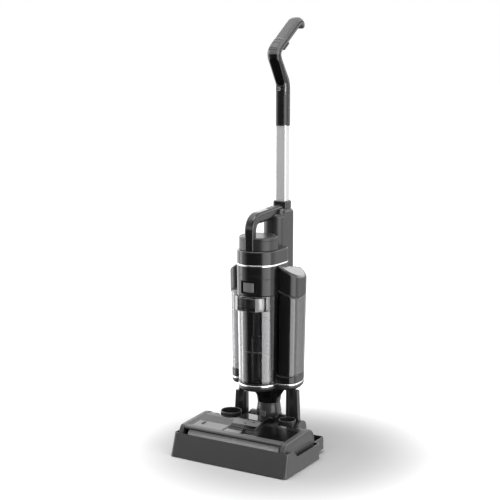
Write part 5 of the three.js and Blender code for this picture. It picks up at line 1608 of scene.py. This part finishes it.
# strip set into the handle between two shares of its length, with a crown and maybe ribs across it.
# side is 1 for the top of the grip, where it keeps the shell's round front, and -1 for its underside
def inlay(
    ends, half, below, above, side=1, rim=1.2, crown=0.6, ribs=(), ribHeight=0.0, count=60,
):
    share, inset = shareOfEnds(*ends, rim, count)
    shell, inset = asColumn(gripHalf(share)), asColumn(inset)
    across = np.sin(np.linspace(-np.pi / 2, np.pi / 2, 33))
    width = (half - inset) * across
    edge = np.clip(abs(width) - (half - rim), 0, rim)
    bulge = crown * (abs(width) / half) ** 2
    if side > 0:
        front, shellHalf = grip["front"], grip["half"]
        past = np.maximum(abs(width) - (shellHalf - front), 0)
        bend = front - np.sqrt(front ** 2 - past ** 2) + grip["crown"] * (width / shellHalf) ** 2
        bulge = bulge + bend * shell / grip["sectionHalf"]
    top = shell + above - inset - bulge - (rim - np.sqrt(np.maximum(rim ** 2 - edge ** 2, 0)))
    for place in ribs:
        near = asColumn(np.clip(1 - abs(share - place) / (1.6 / gripLength), 0, 1))
        top = top + ribHeight * np.sin(near * np.pi / 2) ** 2 * (abs(across) < 0.86)
    bottom = np.minimum(shell - below, top - 1.0)
    over, under = np.stack([width, top], -1), np.stack([width[:, ::-1], bottom], -1)
    sections = np.concatenate([over, under], axis=1)
    sections[..., 1] *= side
    return skin(carried(pathAt(gripPoints, share), sections))


inlays = {
    "front": (0.006, 0.286), "panel": (0.29, 0.53), "mode": (0.548, 0.648), "trigger": (0.625, 0.705),
    "grip": (0.665, 0.895), "ribs": (0.12, 0.5, 0.88),
}


# strips, panel, switch and trigger along the handle
def makeHandleInlays():
    flat = {"rim": 0.5, "crown": 0.0, "count": 100}
    front = bored(inlay(inlays["front"], 17.2, 3.0, 0.3, **flat), *powerWell, power["stripDepth"])
    piece("frontStrip", "handle", satinGloss, front)
    gripCover = inlay(inlays["grip"], 16.6, 7.0, 0.35, rim=1.0, crown=0.0, count=120)
    piece("gripCover", "handle", softTouch, gripCover, ["grip_cover"], angle=40)
    panel = inlay(inlays["panel"], 17.2, 3.0, 0.4, **flat)
    piece("displayPanel", "handle", glossBlack, panel, ["display_panel"], angle=40)
    start, finish = inlays["mode"]
    ribs = start + (finish - start) * np.array(inlays["ribs"])
    mode = inlay(inlays["mode"], 13.5, 3.0, 1.2, ribs=ribs, ribHeight=1.1, count=90)
    piece("modeSwitch", "mode_button", softTouch, mode, ["mode_switch"], angle=40)
    under = {"side": -1, "rim": 2.4, "crown": 1.0}
    stem = inlay(inlays["trigger"], 6.0, 6.0, 4.0, **under)
    pad = inlay(inlays["trigger"], 14.0, -3.2, 8.5, **under)
    piece("trigger", "water_trigger", handleGrey, joined(stem, pad), ["trigger"], angle=40)


# ring round the button's axis with a square section
def buttonRing(radii, start, end, rim):
    inner, outer = radii
    corners = [(inner, start), (outer, start), (outer, end), (inner, end)]
    return ringLathe(corners, [rim] * 4, powerCentre, "y", sides=64)


# round button with a ring round its rim and a raised mark of a broken circle and a line
def makePowerButton():
    p = power
    radius, front, (x, z) = p["radius"], powerLow[1], powerCentre
    face, end = front + 0.1, front + p["raised"]
    profile = [
        (0.3, powerHigh[1]), (radius, powerHigh[1]), (radius, front + 0.2), (4.4, front + 0.2),
        (0.3, front + 0.5),
    ]
    cap = lathe(bent(profile, [0.3, 0.7, 1.0]), powerCentre, "y", sides=64)
    ring = buttonRing(p["ring"], front, end, 0.2)
    angle = asColumn(np.linspace(p["gap"], 2 * np.pi - p["gap"], 40) + np.pi / 2)
    reach = np.array([p["mark"][1], p["mark"][1], p["mark"][0], p["mark"][0]])
    depth = np.array([end, face, face, end]) + 0 * angle
    mark = skin(np.stack([x + reach * np.cos(angle), depth, z + reach * np.sin(angle)], -1))
    bar = lambda inset: rectangle(x - 0.25, x + 0.25, z + 0.8, z + 3.2, 0.2, inset)
    line = prism(bar, face, end, 0.05, 0.05, "y")
    piece("powerButton", "power_push_button", satinGloss, cap, ["power_button"])
    piece("powerMark", "power_push_button", paleInk, joined(ring, mark, line))


# slim charge light beside the button, and the bezel that frames the button
def makeFrontTrim():
    y, centreZ = handleY - grip["footThick"], powerCentre[1]
    bezel = buttonRing(power["bezel"], y - 0.6, y + 2.4, 0.3)
    piece("buttonBezel", "handle", glossBlack, bezel)
    turn = np.radians(power["lightTurn"])
    x = grip["half"] - grip["front"] * (1 - np.sin(turn))
    y += grip["front"] * (1 - np.cos(turn))
    outline = lambda inset: rectangle(x - 1.0, x + 1.0, y - 1.0, y + 1.0, 1.0, inset)
    spans = [(-9, 14), (-14.2, -12)]
    light = [prism(outline, centreZ + start, centreZ + end, 0.5, 0.5) for start, end in spans]
    piece("chargeLight", "handle", paleInk, joined(*light))


makeCarryHandle()
makeTubeButton()
makeTube()
makeHandleShell()
makeHandleInlays()
makePowerButton()
makeFrontTrim()
print("handle made")


# The floor, the light and the camera.

# lengths here are in metres
studio = {
    "floorTone": 0.60, "floorSize": 30.0, "shadeCentre": (0.06, 0.0, 0.0), "shadeReach": 0.18,
    "whiteFrom": 0.64, "frontShade": 0.03, "ambient": 0.35, "room": 2.0, "aim": (0, 0, 0.5),
}
# bearings run clockwise from the front, seen from above
lamps = {
    "rightLight": {"bearing": 74, "distance": 2.3, "height": 0.5, "width": 2.0, "tall": 2.7, "power": 48.0},
    "leftLight": {"bearing": -75, "distance": 2.4, "height": 0.6, "width": 0.5, "tall": 2.4, "power": 12.0},
    "topLight": {"bearing": 0, "distance": 0.4, "height": 3.0, "width": 2.2, "tall": 1.6, "power": 55.0},
}
# the place is in millimetres and the turns are in degrees
view = {"place": (1490.7, -2497.8, 1033.8), "tilt": 80.262, "turn": 30.829, "lens": 85, "sensor": 36}


# pale matt floor with painted shade: near a point a little right of the object its grey tone is painted shade
# besides the real shadow, and to the camera and through clear plastic it fades to plain white away from there
def makeFloor():
    tone, size = studio["floorTone"], studio["floorSize"]
    material, tree, shader = newMaterial(
        "paleFloor", Base_Color=(tone, tone, tone, 1), Roughness=0.9, Specular_IOR_Level=0.0,
        Emission_Color=(1, 1, 1, 1),
    )
    place = node(tree, "ShaderNodeTexCoord").outputs["Object"]
    # the grey that stays near shadeCentre, where no white emission is added, is painted shade
    apart = node(tree, "ShaderNodeVectorMath", place, studio["shadeCentre"], operation="SUBTRACT").outputs[0]
    distance = node(tree, "ShaderNodeVectorMath", apart, operation="LENGTH").outputs["Value"]
    far = ranged(tree, distance, studio["shadeReach"], studio["whiteFrom"], kind="SMOOTHSTEP")
    ray = node(tree, "ShaderNodeLightPath").outputs
    seen = calculated(tree, "ADD", ray["Is Camera Ray"], ray["Is Transmission Ray"], clamp=True)
    feed(tree, shader.inputs["Emission Strength"], calculated(tree, "MULTIPLY", far, seen))
    mesh = bpy.data.meshes.new("floor")
    corners = [(-size, -size, 0), (size, -size, 0), (size, size, 0), (-size, size, 0)]
    mesh.from_pydata(corners, [], [(0, 1, 2, 3)])
    mesh.materials.append(material)
    made = placedObject("floor", mesh)
    made.visible_glossy = False
    made.visible_transmission = False


# tone of the room by direction, for reflections: a ramp round the horizon, dark below and a bright band above
def makeRoom(tree):
    parts = node(tree, "ShaderNodeSeparateXYZ", node(tree, "ShaderNodeTexCoord").outputs["Generated"]).outputs
    heading = calculated(tree, "ARCTAN2", parts["X"], parts["Y"])
    turned = calculated(tree, "ADD", calculated(tree, "MULTIPLY", heading, 0.5 / np.pi), 0.5)
    ramp = node(tree, "ShaderNodeValToRGB", turned)
    # share of a full turn, clockwise from the front: front 0, left 0.25, back 0.5, right 0.75
    dark = studio["frontShade"]
    stops = [
        (0.0, dark), (0.09, dark), (0.18, 0.95), (0.34, 1.0), (0.42, 0.3), (0.53, 0.3), (0.62, 0.9),
        (0.74, 0.65), (0.86, dark),
    ]
    colours = ramp.color_ramp.elements
    while len(colours) < len(stops):
        colours.new(0.5)
    for element, (position, tone) in zip(colours, stops):
        element.position = position
        element.color = (tone, tone, tone, 1)
    below = ranged(tree, parts["Z"], -0.62, -0.36, dark * 0.5, 1.0, "SMOOTHSTEP")
    shaded = node(tree, "ShaderNodeVectorMath", ramp.outputs["Color"], operation="SCALE", Scale=below)
    start = ranged(tree, parts["Z"], 0.08, 0.18, kind="SMOOTHSTEP")
    end = ranged(tree, parts["Z"], 0.26, 0.42, 1.0, 0.2, "SMOOTHSTEP")
    band = calculated(tree, "MULTIPLY", start, end)
    return node(tree, "ShaderNodeVectorMath", shaded.outputs[0], band, operation="ADD").outputs[0]


# the world is white to the camera and through clear plastic, soft on matt faces and a room in reflections
def makeWorld():
    world = bpy.data.worlds.new("studio")
    bpy.context.scene.world = world
    world.use_nodes = True
    tree = world.node_tree
    tree.nodes.clear()
    plain = (1, 1, 1, 1)
    white = node(tree, "ShaderNodeBackground", plain, 1.0).outputs[0]
    soft = node(tree, "ShaderNodeBackground", plain, studio["ambient"]).outputs[0]
    room = node(tree, "ShaderNodeBackground", makeRoom(tree), studio["room"]).outputs[0]
    ray = node(tree, "ShaderNodeLightPath").outputs
    bounces = calculated(tree, "ADD", ray["Glossy Depth"], ray["Diffuse Depth"])
    direct = calculated(tree, "LESS_THAN", bounces, 0.5)
    straight = calculated(tree, "MULTIPLY", direct, ray["Is Transmission Ray"])
    reflected = calculated(tree, "MINIMUM", ray["Glossy Depth"], 1.0)
    indirect = node(tree, "ShaderNodeMixShader", reflected, soft, room).outputs[0]
    seen = calculated(tree, "ADD", ray["Is Camera Ray"], straight, clamp=True)
    final = node(tree, "ShaderNodeMixShader", seen, indirect, white).outputs[0]
    node(tree, "ShaderNodeOutputWorld", final)


# area lamp aimed at the object's middle
def makeLamp(name, bearing, distance, height, width, tall, power):
    data = bpy.data.lights.new(name, "AREA")
    data.shape = "RECTANGLE"
    data.size, data.size_y = width, tall
    data.energy = power
    lamp = placedObject(name, data)
    angle = np.radians(bearing)
    lamp.location = (distance * np.sin(angle), -distance * np.cos(angle), height)
    aim = np.array(studio["aim"]) - np.array(lamp.location)
    lamp.rotation_euler = (np.arccos(-aim[2] / np.linalg.norm(aim)), 0, np.arctan2(-aim[0], aim[1]))
    lamp.visible_camera = False


def makeCamera():
    data = bpy.data.cameras.new("camera")
    data.lens = view["lens"]
    data.sensor_width = view["sensor"]
    data.clip_end = 60
    camera = placedObject("camera", data)
    camera.location = ((np.array(view["place"]) + shift) * mm).tolist()
    camera.rotation_euler = (np.radians(view["tilt"]), 0, np.radians(view["turn"]))
    bpy.context.scene.camera = camera


makeFloor()
makeWorld()
for name, lamp in lamps.items():
    makeLamp(name, **lamp)
makeCamera()
bpy.context.scene.view_settings.view_transform = "Standard"
print("studio made")
